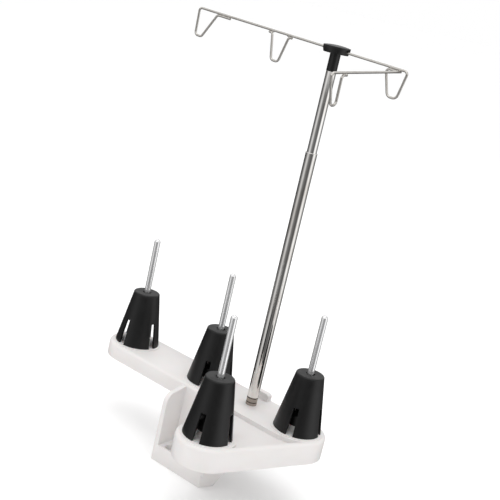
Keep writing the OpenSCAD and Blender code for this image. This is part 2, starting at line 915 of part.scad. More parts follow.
// The right loop: the long wire's other end, bent down and back to a short welded tail
module thread_loop_4() {
    right = bar_right;
    left = right - loop_4_w;
    middle = right - loop_4_w * 0.4;
    foot = loop_foot_w / 2 + 0.5;
    round_r = loop_round + 1;
    color(steel)
        on_bar()
            bent_wire([
                [right - bend_r - 2, 0], [right, 0],
                [middle + foot, -loop_depth + 1.5, round_r],
                [middle - foot, -loop_depth + 1.5, round_r],
                [left, -tail_drop], [arm_at - 2.5 * wire_r, -tail_drop]]);
}

// Profile of a cone, to be turned about the pin: the wall, the top and the sleeve that hangs from it
module cone_section() {
    lean = (cone_foot_r - cone_top_r) / cone_h;
    top_t = cone_wall;
    inner_top = cone_h - top_t;
    wall_across = cone_wall * sqrt(1 + lean * lean);
    polygon([
        [cone_foot_r - wall_across, 0], [cone_foot_r, 0],
        [cone_foot_r - lean * (cone_h - cone_round), cone_h - cone_round],
        [cone_top_r + lean * cone_round - cone_round, cone_h],
        [hub_r, cone_h], [hub_r, inner_top],
        [cone_foot_r - lean * inner_top - wall_across, inner_top]]);
    translate([cone_top_r + lean * cone_round - cone_round, cone_h - cone_round])
        circle(cone_round, $fn = 48);
    translate([hub_r, boss_rise + 0.6])
        square([hub_wall, cone_h - boss_rise - 0.6]);
}

// The fingers round the pin: a split collar that hangs from the cone's top
module cone_fingers() {
    grip_r = pin_r + pin_clear;
    difference() {
        translate([0, 0, cone_h - finger_l])
            cylinder(r = hub_r + hub_wall / 2, h = finger_l - 0.5);
        translate([0, 0, cone_h - finger_l - eps])
            cylinder(r = grip_r, h = finger_l + 2 * eps);
        for (i = [0 : slot_count - 1])
            rotate([0, 0, (i + 0.5) * 360 / slot_count])
                translate([0, -finger_gap / 2, cone_h - finger_l - eps])
                    cube([hub_r, finger_gap, finger_l + 2 * eps]);
    }
}

// Webs that hold the cone's wall on its sleeve, midway between the slots
module cone_webs() {
    web_t = 1.4;
    foot = slot_h + 4;
    lean = (cone_foot_r - cone_top_r) / cone_h;
    reach = cone_foot_r - lean * cone_h - cone_wall;
    for (i = [0 : slot_count - 1])
        rotate([0, 0, (i + 0.5) * 360 / slot_count])
            translate([hub_r + hub_wall / 2, -web_t / 2, foot])
                cube([reach + 0.5 - hub_r - hub_wall / 2, web_t, cone_h - foot - cone_wall / 2]);
}

module spool_cone(at, turn) {
    color(black)
        translate([at.x, at.y, seat_top])
            rotate([0, 0, turn])
            difference() {
                union() {
                    rotate_extrude($fn = 96)
                        cone_section();
                    cone_fingers();
                    cone_webs();
                }
                for (i = [0 : slot_count - 1])
                    rotate([0, 0, i * 360 / slot_count])
                        translate([hub_r + hub_wall + 2, -slot_w / 2, -eps])
                            cube([cone_foot_r, slot_w, slot_h + eps]);
            }
}

module spool_pin_1() { spool_pin(spool_at[0]); }
module spool_pin_2() { spool_pin(spool_at[1]); }
module spool_pin_3() { spool_pin(spool_at[2]); }
module spool_pin_4() { spool_pin(spool_at[3]); }
module spool_cone_1() { spool_cone(spool_at[0], slot_turn_1); }
module spool_cone_2() { spool_cone(spool_at[1], slot_turn_2); }
module spool_cone_3() { spool_cone(spool_at[2], slot_turn_3); }
module spool_cone_4() { spool_cone(spool_at[3], slot_turn_4); }

deck_housing();
spool_pin_1();
spool_pin_2();
spool_pin_3();
spool_pin_4();
pin_screws();
pin_washers();
mast_lower_tube();
mast_foot_plug();
mast_screw();
mast_washer();
mast_upper_tube();
mast_glide();
head_stem();
head_lid();
guide_bar();
guide_cross_wire();
thread_loop_1();
thread_loop_2();
thread_loop_3();
thread_loop_4();
spool_cone_1();
spool_cone_2();
spool_cone_3();
spool_cone_4();
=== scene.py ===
"""Looks for a four-spool thread rack: moulded deck, spool cones, telescopic mast and wire guide.

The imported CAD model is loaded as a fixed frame. Each sub-assembly below is a class that builds
its detailed meshes in that frame, dresses them in procedural finishes and lets them ride on
the CAD bodies.
"""

from __future__ import annotations

import json
import logging
import math
from dataclasses import dataclass, field
from enum import Enum
from typing import Sequence

import bmesh
import bpy
from mathutils import Matrix, Vector

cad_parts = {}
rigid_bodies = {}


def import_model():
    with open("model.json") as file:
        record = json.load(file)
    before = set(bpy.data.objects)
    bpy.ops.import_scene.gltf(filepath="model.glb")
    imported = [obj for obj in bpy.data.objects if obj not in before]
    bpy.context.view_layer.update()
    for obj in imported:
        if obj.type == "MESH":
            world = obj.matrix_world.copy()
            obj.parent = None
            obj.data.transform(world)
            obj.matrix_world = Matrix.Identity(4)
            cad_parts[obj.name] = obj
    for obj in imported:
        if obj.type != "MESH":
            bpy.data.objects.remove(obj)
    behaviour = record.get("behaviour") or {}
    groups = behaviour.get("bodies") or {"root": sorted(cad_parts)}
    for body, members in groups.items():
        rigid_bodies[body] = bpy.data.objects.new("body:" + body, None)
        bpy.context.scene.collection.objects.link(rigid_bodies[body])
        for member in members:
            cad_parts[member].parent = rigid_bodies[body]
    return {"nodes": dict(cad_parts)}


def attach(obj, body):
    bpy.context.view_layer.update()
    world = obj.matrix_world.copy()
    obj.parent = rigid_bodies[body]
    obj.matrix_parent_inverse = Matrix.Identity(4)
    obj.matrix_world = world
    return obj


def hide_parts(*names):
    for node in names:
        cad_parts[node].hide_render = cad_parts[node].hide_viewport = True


LOG = logging.getLogger("thread_rack")
Point = tuple[float, float]
Corner = tuple[float, float, float]
Color = tuple[float, float, float]
Socket = bpy.types.NodeSocket
MM = 0.001
# Vertices nearer than this are one.
TOUCHING = 1e-7
# X and Y of the mast's axis.
MAST_AT: Point = (30.5 * MM, 41.0 * MM)


class Body(Enum):
    """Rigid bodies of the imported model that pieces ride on."""

    STAND = "stand"
    SLIDER = "mast_slider"
    HEAD = "guide_head"
    CONE_1 = "cone_1"
    CONE_2 = "cone_2"
    CONE_3 = "cone_3"
    CONE_4 = "cone_4"


class Slot(Enum):
    """Material slots of the record."""

    HOUSING = "housing_plastic"
    CONE = "cone_plastic"
    HEAD = "head_plastic"
    PIN = "pin_chrome"
    MAST = "mast_chrome"
    WIRE = "wire_steel"
    ZINC = "zinc_steel"
    NYLON = "nylon"


# Node trees


class TreeBuilder:
    """Base for a builder of one node tree."""

    def __init__(self, tree: bpy.types.NodeTree) -> None:
        """Keeps the tree that the nodes go into.

        Args:
            tree: the tree.
        """
        self.tree = tree

    def node(self, kind: str, **settings: object) -> bpy.types.Node:
        """Adds a node and sets its properties.

        Args:
            kind: Blender's node type.
            settings: property names and values.

        Returns:
            The new node.
        """
        node = self.tree.nodes.new(kind)
        for name, value in settings.items():
            setattr(node, name, value)
        return node

    def link(self, source: Socket, target: Socket) -> None:
        """Joins an output to an input."""
        self.tree.links.new(source, target)

    def ranged(self, value: Socket, low: float, high: float,
               start: float = 0.3, end: float = 0.7) -> Socket:
        """Maps a factor onto a range.

        Args:
            value: the factor.
            low: result at start.
            high: result at end.
            start: factor that gives low.
            end: factor that gives high.

        Returns:
            The mapped value.
        """
        node = self.node("ShaderNodeMapRange", clamp=True)
        node.inputs["From Min"].default_value = start
        node.inputs["From Max"].default_value = end
        node.inputs["To Min"].default_value = low
        node.inputs["To Max"].default_value = high
        self.link(value, node.inputs["Value"])
        return node.outputs["Result"]

    def height_of(self, place: Socket) -> Socket:
        """Gives the Z part of a vector.

        Args:
            place: the vector.

        Returns:
            Its Z part.
        """
        node = self.node("ShaderNodeSeparateXYZ")
        self.link(place, node.inputs["Vector"])
        return node.outputs["Z"]


class ShaderTree(TreeBuilder):
    """Builder for a procedural surface that reads Object coordinates."""

    def __init__(self, name: str) -> None:
        """Starts a material with one Principled surface.

        Args:
            name: name of the new material.
        """
        self.material = bpy.data.materials.new(name)
        self.material.use_nodes = True
        super().__init__(self.material.node_tree)
        self.surface = self.tree.nodes["Principled BSDF"]
        self.coords = self.node("ShaderNodeTexCoord").outputs["Object"]

    def constant(self, **values: object) -> None:
        """Sets sockets of the surface, with underscores for spaces in their names."""
        for name, value in values.items():
            self.surface.inputs[name.replace("_", " ")].default_value = value

    def stretched(self, scale: Sequence[float]) -> Socket:
        """Gives Object coordinates scaled per axis.

        Args:
            scale: factor along X, Y and Z.

        Returns:
            The vector socket.
        """
        mapping = self.node("ShaderNodeMapping")
        mapping.inputs["Scale"].default_value = tuple(scale)
        self.link(self.coords, mapping.inputs["Vector"])
        return mapping.outputs["Vector"]

    def noise(self, scale: float, detail: float = 3.0, rough: float = 0.55,
              stretch: Sequence[float] = (1.0, 1.0, 1.0)) -> Socket:
        """Adds a noise texture.

        Args:
            scale: noise frequency per metre.
            detail: number of octaves.
            rough: weight of the finer octaves.
            stretch: factor along X, Y and Z.

        Returns:
            The noise factor.
        """
        node = self.node("ShaderNodeTexNoise")
        node.inputs["Scale"].default_value = scale
        node.inputs["Detail"].default_value = detail
        node.inputs["Roughness"].default_value = rough
        self.link(self.stretched(stretch), node.inputs["Vector"])
        return node.outputs["Fac"]

    def mixed(self, factor: Socket, low: Socket | Color, high: Color) -> Socket:
        """Mixes two colours by a factor.

        Args:
            factor: 0 gives low, 1 gives high.
            low: first colour, a fixed one or a socket.
            high: second colour.

        Returns:
            The mixed colour.
        """
        node = self.node("ShaderNodeMix", data_type="RGBA")
        self.link(factor, node.inputs["Factor"])
        if isinstance(low, Socket):
            self.link(low, node.inputs["A"])
        else:
            node.inputs["A"].default_value = (*low, 1.0)
        node.inputs["B"].default_value = (*high, 1.0)
        return node.outputs["Result"]

    def gap(self, value: Socket, level: float) -> Socket:
        """Gives the distance of a value from a level.

        Args:
            value: the value.
            level: the level.

        Returns:
            The distance, never below 0.
        """
        less = self.node("ShaderNodeMath", operation="SUBTRACT")
        less.inputs[1].default_value = level
        size = self.node("ShaderNodeMath", operation="ABSOLUTE")
        self.link(value, less.inputs[0])
        self.link(less.outputs["Value"], size.inputs[0])
        return size.outputs["Value"]

    def bumped(self, height: Socket, distance: float, strength: float = 1.0,
               below: Socket | None = None) -> Socket:
        """Turns a height into a normal.

        Args:
            height: height factor.
            distance: relief in metres.
            strength: share of the relief that is used.
            below: an earlier bump's normal to build on.

        Returns:
            The bumped normal.
        """
        node = self.node("ShaderNodeBump")
        node.inputs["Distance"].default_value = distance
        node.inputs["Strength"].default_value = strength
        self.link(height, node.inputs["Height"])
        if below is not None:
            self.link(below, node.inputs["Normal"])
        return node.outputs["Normal"]

    def use(self, **sockets: Socket) -> None:
        """Links sockets into the surface, with underscores for spaces in their names."""
        for name, socket in sockets.items():
            self.link(socket, self.surface.inputs[name.replace("_", " ")])


# Finishes


@dataclass(frozen=True)
class MouldedPlastic:
    """Injection-moulded plastic with a fine spark-eroded grain and slow flow marks.

    Attributes:
        name: material name.
        color: main colour.
        marks: colour of the flow marks.
        gloss: roughness where the mould was smoothest.
        dull: roughness where it was roughest.
        grain: depth of the grain in metres.
        grain_scale: grains per metre.
        through: how much light passes below the surface.
        shine: strength of the mirror reflection, 0.5 for plain plastic.
        flow_scale: flow marks per metre.
        rub_scale: rubbed spots per metre.
        travel: how far light travels below the surface, in metres.
        bending: refractive index.
    """

    name: str
    color: Color
    marks: Color
    gloss: float
    dull: float
    grain: float
    grain_scale: float
    through: float = 0.0
    shine: float = 0.5
    flow_scale: float = 28.0
    rub_scale: float = 160.0
    travel: float = 0.004
    bending: float = 1.53

    def material(self) -> bpy.types.Material:
        """Builds the material.

        Returns:
            The plastic's material.
        """
        tree = ShaderTree(self.name)
        flow = tree.noise(self.flow_scale, detail=2.0, rough=0.5, stretch=(1.0, 1.0, 2.2))
        fine = tree.noise(self.grain_scale, detail=2.0, rough=0.6)
        rub = tree.noise(self.rub_scale, detail=4.0, rough=0.6)
        soft = tree.bumped(rub, self.grain * 2.0, strength=0.35)
        tree.use(
            Base_Color=tree.mixed(tree.ranged(flow, 0.0, 1.0), self.color, self.marks),
            Roughness=tree.ranged(rub, self.gloss, self.dull),
            Normal=tree.bumped(fine, self.grain, strength=0.7, below=soft),
        )
        tree.constant(IOR=self.bending, Specular_IOR_Level=self.shine,
                      Subsurface_Weight=self.through, Subsurface_Scale=self.travel)
        return tree.material


@dataclass(frozen=True)
class PlatedMetal:
    """Plated metal with faint drawing lines along one axis and dull spots.

    Attributes:
        name: material name.
        color: colour of the clean plate.
        stain: colour of the dull spots.
        gloss: roughness of the clean plate.
        dull: roughness of the dull spots.
        lines: depth of the drawing lines in metres.
        stretch: shape of the lines along X, Y and Z.
        metal: share of bare metal, the rest being bright haze.
        line_scale: drawing lines per metre.
        haze_scale: dull spots per metre.
        grooves: heights of grooves, which get painted shade. Up to the last one a painted reflection of
            the deck and cones covers the plate.
        painted_foot_reflection: colour of the painted reflection of the deck and cones, up to the last
            groove.
        painted_groove_shade: colour of the painted shade in the grooves.
        fade: height in which the painted reflection ends.
        painted_groove_shade_core: half of the width of the full painted shade in a groove.
        painted_groove_shade_edge: half of the width of all painted shade in a groove.
    """

    name: str
    color: Color
    stain: Color
    gloss: float
    dull: float
    lines: float
    stretch: tuple[float, float, float] = (1.0, 1.0, 0.03)
    metal: float = 1.0
    line_scale: float = 2600.0
    haze_scale: float = 120.0
    grooves: tuple[float, ...] = ()
    # Painted reflection of the deck and cones at the foot, and painted shade in the grooves.
    painted_foot_reflection: Color = (0.34, 0.3, 0.265)
    painted_groove_shade: Color = (0.1, 0.08, 0.065)
    fade: float = 0.8 * MM
    painted_groove_shade_core: float = 0.25 * MM
    painted_groove_shade_edge: float = 0.65 * MM

    def material(self) -> bpy.types.Material:
        """Builds the material.

        Returns:
            The metal's material.
        """
        tree = ShaderTree(self.name)
        drawn = tree.noise(self.line_scale, detail=3.0, rough=0.6, stretch=self.stretch)
        haze = tree.noise(self.haze_scale, detail=4.0, rough=0.6, stretch=(1.0, 1.0, 0.35))
        color = tree.mixed(tree.ranged(haze, 0.0, 1.0, 0.45, 0.75), self.color, self.stain)
        # Painted reflection at the foot and painted shade in the grooves, where grooves are given.
        if self.grooves:
            color = self.paint_reflection_and_groove_shade(tree, color)
        tree.use(
            Base_Color=color,
            Roughness=tree.ranged(haze, self.gloss, self.dull, 0.4, 0.75),
            Normal=tree.bumped(drawn, self.lines, strength=0.5),
        )
        tree.constant(Metallic=self.metal)
        return tree.material

    def paint_reflection_and_groove_shade(self, tree: ShaderTree, color: Socket) -> Socket:
        """Lays a painted reflection of the deck and cones over the plate's foot and painted shade into
        its grooves.

        Args:
            tree: the material's tree.
            color: colour of the plate.

        Returns:
            The colour with both on it.
        """
        height = tree.height_of(tree.coords)
        top = max(self.grooves)
        # Painted reflection of the deck and cones, up to just above the last groove.
        color = tree.mixed(tree.ranged(height, 1.0, 0.0, top, top + self.fade), color, self.painted_foot_reflection)
        # Painted shade in each groove.
        for groove in self.grooves:
            near = tree.ranged(tree.gap(height, groove), 1.0, 0.0, self.painted_groove_shade_core, self.painted_groove_shade_edge)
            color = tree.mixed(near, color, self.painted_groove_shade)
        return color


@dataclass
class Finishes:
    """Every finish of the rack, built once and shared.

    Attributes:
        grooves: heights of the mast's grooves, which get painted shade.
    """

    grooves: tuple[float, ...]
    housing: bpy.types.Material = field(init=False)
    cone: bpy.types.Material = field(init=False)
    head: bpy.types.Material = field(init=False)
    pin: bpy.types.Material = field(init=False)
    mast: bpy.types.Material = field(init=False)
    inner_mast: bpy.types.Material = field(init=False)
    wire: bpy.types.Material = field(init=False)
    zinc: bpy.types.Material = field(init=False)
    nylon: bpy.types.Material = field(init=False)

    def __post_init__(self) -> None:
        """Builds the materials."""
        self.housing = MouldedPlastic(
            "white_housing_plastic", color=(0.725, 0.703, 0.694), marks=(0.705, 0.682, 0.67),
            gloss=0.30, dull=0.42, grain=0.00001, grain_scale=5200.0, through=0.06).material()
        self.cone = MouldedPlastic(
            "black_cone_plastic", color=(0.0028, 0.0028, 0.0029), marks=(0.004, 0.004, 0.0042),
            gloss=0.36, dull=0.46, grain=0.000014, grain_scale=4200.0, shine=0.38).material()
        self.head = MouldedPlastic(
            "black_head_plastic", color=(0.0065, 0.0065, 0.0065), marks=(0.009, 0.009, 0.009),
            gloss=0.30, dull=0.42, grain=0.000012, grain_scale=5200.0, shine=0.35).material()
        self.pin = PlatedMetal(
            "bright_pin_chrome", color=(0.92, 0.92, 0.925), stain=(0.86, 0.86, 0.87),
            gloss=0.11, dull=0.2, lines=0.000002, metal=0.8).material()
        # The mast's chrome gets a painted reflection at its foot and painted shade in its grooves.
        self.mast = PlatedMetal(
            "mast_chrome", color=(0.84, 0.82, 0.795), stain=(0.66, 0.62, 0.58),
            gloss=0.05, dull=0.12, lines=0.000002, grooves=self.grooves).material()
        self.inner_mast = PlatedMetal(
            "inner_mast_chrome", color=(0.94, 0.925, 0.905), stain=(0.78, 0.74, 0.70),
            gloss=0.03, dull=0.08, lines=0.000002).material()
        self.wire = PlatedMetal(
            "guide_wire_steel", color=(0.68, 0.655, 0.62), stain=(0.56, 0.535, 0.50),
            gloss=0.2, dull=0.3, lines=0.000001, stretch=(0.05, 0.05, 1.0)).material()
        self.zinc = PlatedMetal(
            "zinc_screw_steel", color=(0.66, 0.67, 0.69), stain=(0.45, 0.45, 0.44),
            gloss=0.25, dull=0.45, lines=0.000005, stretch=(1.0, 1.0, 1.0)).material()
        self.nylon = MouldedPlastic(
            "natural_nylon", color=(0.72, 0.69, 0.62), marks=(0.66, 0.63, 0.56),
            gloss=0.4, dull=0.55, grain=0.00001, grain_scale=3600.0, through=0.1).material()


# Mesh making


def new_piece(name: str, mesh: bpy.types.Mesh, material: bpy.types.Material) -> bpy.types.Object:
    """Puts a mesh into the scene as a piece at the origin.

    Args:
        name: name of the piece.
        mesh: its mesh, already in place.
        material: its finish.

    Returns:
        The new object.
    """
    mesh.materials.clear()
    mesh.materials.append(material)
    piece = bpy.data.objects.new(name, mesh)
    bpy.context.scene.collection.objects.link(piece)
    return piece


def closed(work: bmesh.types.BMesh, mesh: bpy.types.Mesh) -> bpy.types.Mesh:
    """Writes a bmesh to a mesh, with its doubles merged and its faces turned outwards.

    Args:
        work: the bmesh, which is freed.
        mesh: the mesh to write to.

    Returns:
        The same mesh.
    """
    bmesh.ops.remove_doubles(work, verts=work.verts, dist=TOUCHING)
    bmesh.ops.recalc_face_normals(work, faces=work.faces)
    work.to_mesh(mesh)
    work.free()
    return mesh


def shade(mesh: bpy.types.Mesh, angle: float = 32.0) -> None:
    """Smooths a mesh, with sharp edges where its faces meet at more than an angle.

    Args:
        mesh: the mesh to shade.
        angle: angle in degrees from which an edge stays sharp.
    """
    work = bmesh.new()
    work.from_mesh(mesh)
    limit = math.radians(angle)
    for edge in work.edges:
        edge.smooth = len(edge.link_faces) != 2 or edge.calc_face_angle(0.0) < limit
    for face in work.faces:
        face.smooth = True
    work.to_mesh(mesh)
    work.free()


def flattened(piece: bpy.types.Object) -> bpy.types.Mesh:
    """Bakes a piece's modifiers into a plain mesh.

    Args:
        piece: an object with modifiers.

    Returns:
        The plain mesh, which the piece wears from now on.
    """
    graph = bpy.context.evaluated_depsgraph_get()
    graph.update()
    mesh = bpy.data.meshes.new_from_object(piece.evaluated_get(graph))
    piece.modifiers.clear()
    piece.data = mesh
    return mesh


def softened(piece: bpy.types.Object, width: float, angle: float) -> None:
    """Rounds a piece's edges for good.

    Args:
        piece: the piece.
        width: width of the rounding in metres.
        angle: angle in degrees from which an edge is rounded.
    """
    bevel = piece.modifiers.new("round_edges", "BEVEL")
    bevel.width = width
    bevel.segments = 2
    bevel.limit_method = "ANGLE"
    bevel.angle_limit = math.radians(angle)
    material = piece.data.materials[0]
    mesh = flattened(piece)
    mesh.materials.clear()
    mesh.materials.append(material)
    shade(mesh)


def turned_mesh(profile: Sequence[Point], centre: Point, steps: int, name: str) -> bpy.types.Mesh:
    """Revolves a profile about an upright axis.

    Args:
        profile: points as radius and height; a radius of 0 closes an end.
        centre: X and Y of the axis.
        steps: number of steps round the axis.
        name: name of the mesh.

    Returns:
        The turned mesh.
    """
    work = bmesh.new()
    x, y = centre
    turns = [2 * math.pi * i / steps for i in range(steps)]
    rings = []
    for radius, height in profile:
        if radius < TOUCHING:
            rings.append([work.verts.new((x, y, height))])
            continue
        rings.append([
            work.verts.new((x + radius * math.cos(turn), y + radius * math.sin(turn), height))
            for turn in turns])
    for low, high in zip(rings, rings[1:]):
        for i in range(steps):
            j = (i + 1) % steps
            if len(low) == 1:
                work.faces.new((low[0], high[j], high[i]))
            elif len(high) == 1:
                work.faces.new((low[i], low[j], high[0]))
            else:
                work.faces.new((low[i], low[j], high[j], high[i]))
    return closed(work, bpy.data.meshes.new(name))


def lofted_mesh(sections: Sequence[Sequence[Corner]], name: str) -> bpy.types.Mesh:
    """Skins a closed body over sections that have equally many corners.

    Args:
        sections: the sections in order, each a loop of corners.
        name: name of the mesh.

    Returns:
        The body's mesh, with both ends capped.
    """
    work = bmesh.new()
    loops = [[work.verts.new(corner) for corner in section] for section in sections]
    count = len(loops[0])
    for one, two in zip(loops, loops[1:]):
        for k in range(count):
            j = (k + 1) % count
            work.faces.new((one[k], one[j], two[j], two[k]))
    work.faces.new(loops[0][::-1])
    work.faces.new(loops[-1])
    return closed(work, bpy.data.meshes.new(name))


def rounded_profile(points: Sequence[Point], radii: Sequence[float], steps: int = 5) -> list[Point]:
    """Rounds the corners of a turned profile.

    Args:
        points: the sharp profile.
        radii: rounding at each point, 0 for none.
        steps: number of steps in each rounding.

    Returns:
        The profile with arcs in its corners.
    """
    out: list[Point] = []
    last = len(points) - 1
    for i, (point, radius) in enumerate(zip(points, radii)):
        if radius <= 0 or i in (0, last):
            out.append(point)
            continue
        here = Vector(point)
        before = (Vector(points[i - 1]) - here).normalized()
        after = (Vector(points[i + 1]) - here).normalized()
        half = before.angle(after) / 2
        reach = min(radius / math.tan(half), (Vector(points[i - 1]) - here).length * 0.49,
                    (Vector(points[i + 1]) - here).length * 0.49)
        size = reach * math.tan(half)
        middle = here + (before + after).normalized() * (size / math.sin(half))
        start = here + before * reach - middle
        sweep = start.angle_signed(here + after * reach - middle)
        for k in range(steps + 1):
            turn = Matrix.Rotation(-sweep * k / steps, 2)
            spot = middle + turn @ start
            out.append((spot.x, spot.y))
    return out


# Geometry Nodes trees


class NodeRecipe(TreeBuilder):
    """Base for a Geometry Nodes tree with named inputs that ends in one plain mesh.

    Attributes:
        name: name of the tree.
        inputs: type and usual value of each named input.
    """

    name = "recipe"
    inputs: dict[str, tuple[str, object]] = {}

    def __init__(self) -> None:
        """Builds the tree with its named inputs, down to one mesh with its finish."""
        super().__init__(bpy.data.node_groups.new(self.name, "GeometryNodeTree"))
        face = self.tree.interface
        face.new_socket("Geometry", in_out="INPUT", socket_type="NodeSocketGeometry")
        self.ids: dict[str, str] = {}
        for label, (kind, value) in self.inputs.items():
            socket = face.new_socket(label, in_out="INPUT", socket_type=kind)
            socket.default_value = value
            self.ids[label] = socket.identifier
        wear = face.new_socket("Finish", in_out="INPUT", socket_type="NodeSocketMaterial")
        self.ids["Finish"] = wear.identifier
        face.new_socket("Geometry", in_out="OUTPUT", socket_type="NodeSocketGeometry")
        self.given = self.node("NodeGroupInput").outputs
        real = self.node("GeometryNodeRealizeInstances")
        dress = self.node("GeometryNodeSetMaterial")
        result = self.node("NodeGroupOutput")
        self.link(self.shape(), real.inputs["Geometry"])
        self.link(real.outputs["Geometry"], dress.inputs["Geometry"])
        self.link(self.given["Finish"], dress.inputs["Material"])
        self.link(dress.outputs["Geometry"], result.inputs["Geometry"])

    def shape(self) -> Socket:
        """Builds the tree's own nodes and returns the geometry socket."""
        raise NotImplementedError

    def made(self, name: str, host: bpy.types.Mesh, finish: bpy.types.Material,
             **values: object) -> bpy.types.Object:
        """Runs the tree on a host mesh and keeps the result as a plain mesh.

        Args:
            name: name of the piece.
            host: mesh that the tree starts from.
            finish: material that it sets.
            values: named inputs, with underscores for spaces.

        Returns:
            The finished piece, without modifiers.
        """
        piece = new_piece(name, host, finish)
        modifier = piece.modifiers.new(self.name, "NODES")
        modifier.node_group = self.tree
        modifier[self.ids["Finish"]] = finish
        for label, value in values.items():
            modifier[self.ids[label.replace("_", " ")]] = value
        mesh = flattened(piece)
        work = bmesh.new()
        work.from_mesh(mesh)
        closed(work, mesh)
        return piece


class BentWire(NodeRecipe):
    """Sweeps a round wire along a chain of edges, with a round bend at each corner."""

    name = "bent_wire"
    bend = "bend_radius"
    inputs = {
        "Wire radius": ("NodeSocketFloat", 1.0 * MM),
        "Bend steps": ("NodeSocketInt", 10),
        "Wire sides": ("NodeSocketInt", 24),
    }

    def shape(self) -> Socket:
        """Builds curve, fillets and sweep.

        Returns:
            The swept wire.
        """
        curve = self.node("GeometryNodeMeshToCurve")
        fillet = self.node("GeometryNodeFilletCurve", mode="POLY")
        fillet.inputs["Limit Radius"].default_value = True
        radius = self.node("GeometryNodeInputNamedAttribute", data_type="FLOAT")
        radius.inputs["Name"].default_value = self.bend
        ring = self.node("GeometryNodeCurvePrimitiveCircle")
        sweep = self.node("GeometryNodeCurveToMesh")
        sweep.inputs["Fill Caps"].default_value = True
        smooth = self.node("GeometryNodeSetShadeSmooth")
        self.link(self.given["Geometry"], curve.inputs["Mesh"])
        self.link(curve.outputs["Curve"], fillet.inputs["Curve"])
        self.link(self.given["Bend steps"], fillet.inputs["Count"])
        self.link(radius.outputs["Attribute"], fillet.inputs["Radius"])
        self.link(self.given["Wire sides"], ring.inputs["Resolution"])
        self.link(self.given["Wire radius"], ring.inputs["Radius"])
        self.link(fillet.outputs["Curve"], sweep.inputs["Curve"])
        self.link(ring.outputs["Curve"], sweep.inputs["Profile Curve"])
        self.link(sweep.outputs["Mesh"], smooth.inputs["Geometry"])
        return smooth.outputs["Geometry"]


class RingOf(NodeRecipe):
    """Repeats a host shape at even angles about an upright axis, then moves the ring in place."""

    name = "ring_of"
    inputs = {
        "Count": ("NodeSocketInt", 4),
        "First angle": ("NodeSocketFloat", 0.0),
        "Step angle": ("NodeSocketFloat", math.pi / 2),
        "Centre": ("NodeSocketVector", (0.0, 0.0, 0.0)),
    }

    def shape(self) -> Socket:
        """Builds points, their angles, the instances and the final move.

        Returns:
            The ring of shapes.
        """
        points = self.node("GeometryNodePoints")
        index = self.node("GeometryNodeInputIndex")
        turn = self.node("ShaderNodeMath", operation="MULTIPLY_ADD")
        vector = self.node("ShaderNodeCombineXYZ")
        copies = self.node("GeometryNodeInstanceOnPoints")
        move = self.node("GeometryNodeTransform")
        self.link(self.given["Count"], points.inputs["Count"])
        self.link(index.outputs["Index"], turn.inputs[0])
        self.link(self.given["Step angle"], turn.inputs[1])
        self.link(self.given["First angle"], turn.inputs[2])
        self.link(turn.outputs["Value"], vector.inputs["Z"])
        self.link(points.outputs["Points"], copies.inputs["Points"])
        self.link(self.given["Geometry"], copies.inputs["Instance"])
        self.link(vector.outputs["Vector"], copies.inputs["Rotation"])
        self.link(copies.outputs["Instances"], move.inputs["Geometry"])
        self.link(self.given["Centre"], move.inputs["Translation"])
        return move.outputs["Geometry"]


class BeadsAt(NodeRecipe):
    """Puts a flattened weld bead on every vertex of the host mesh."""

    name = "beads_at"
    inputs = {
        "Bead radius": ("NodeSocketFloat", 1.2 * MM),
        "Bead length": ("NodeSocketFloat", 2.0),
        "Along": ("NodeSocketVector", (1.0, 0.0, 0.0)),
    }

    def shape(self) -> Socket:
        """Builds one bead and places it on the points.

        Returns:
            The beads.
        """
        points = self.node("GeometryNodeMeshToPoints")
        bead = self.node("GeometryNodeMeshUVSphere")
        bead.inputs["Segments"].default_value = 16
        bead.inputs["Rings"].default_value = 10
        size = self.node("ShaderNodeCombineXYZ")
        size.inputs["X"].default_value = 1.0
        size.inputs["Y"].default_value = 1.0
        turn = self.node("FunctionNodeAlignRotationToVector", axis="Z")
        copies = self.node("GeometryNodeInstanceOnPoints")
        smooth = self.node("GeometryNodeSetShadeSmooth")
        self.link(self.given["Geometry"], points.inputs["Mesh"])
        self.link(self.given["Bead radius"], bead.inputs["Radius"])
        self.link(self.given["Bead length"], size.inputs["Z"])
        self.link(self.given["Along"], turn.inputs["Vector"])
        self.link(points.outputs["Points"], copies.inputs["Points"])
        self.link(bead.outputs["Mesh"], copies.inputs["Instance"])
        self.link(turn.outputs["Rotation"], copies.inputs["Rotation"])
        self.link(size.outputs["Vector"], copies.inputs["Scale"])
        self.link(copies.outputs["Instances"], smooth.inputs["Geometry"])
        return smooth.outputs["Geometry"]


# Sub-assemblies


@dataclass
class Assembly:
    """Base for a sub-assembly: it makes pieces, lets them ride and reports them.

    Attributes:
        solids: the CAD nodes by name.
        finishes: the shared finishes.
    """

    solids: dict[str, bpy.types.Object]
    finishes: Finishes

    def seat(self, piece: bpy.types.Object, body: Body, slot: Slot, *nodes: str) -> None:
        """Lets a piece ride on a body and stand for CAD nodes.

        Args:
            piece: the finished piece.
            body: the CAD body that carries it.
            slot: the record's material slot; not used.
            nodes: the CAD nodes that it stands for.
        """
        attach(piece, body.value)
        if nodes:
            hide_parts(*nodes)
        LOG.info("%s: %d faces on %s", piece.name, len(piece.data.polygons), body.value)

    def copied(self, node: str, name: str, material: bpy.types.Material) -> bpy.types.Object:
        """Copies a CAD node's mesh as a clean base for a detailed piece.

        Args:
            node: name of the CAD node.
            name: name of the new piece.
            material: its finish.

        Returns:
            The new piece, with its flat faces joined.
        """
        source = self.solids[node]
        work = bmesh.new()
        work.from_mesh(source.data)
        work.transform(source.matrix_world)
        bmesh.ops.remove_doubles(work, verts=work.verts, dist=1e-6)
        bmesh.ops.dissolve_limit(
            work, angle_limit=math.radians(1.0), verts=work.verts, edges=work.edges,
            delimit={"NORMAL"})
        mesh = bpy.data.meshes.new(name)
        work.to_mesh(mesh)
        work.free()
        return new_piece(name, mesh, material)


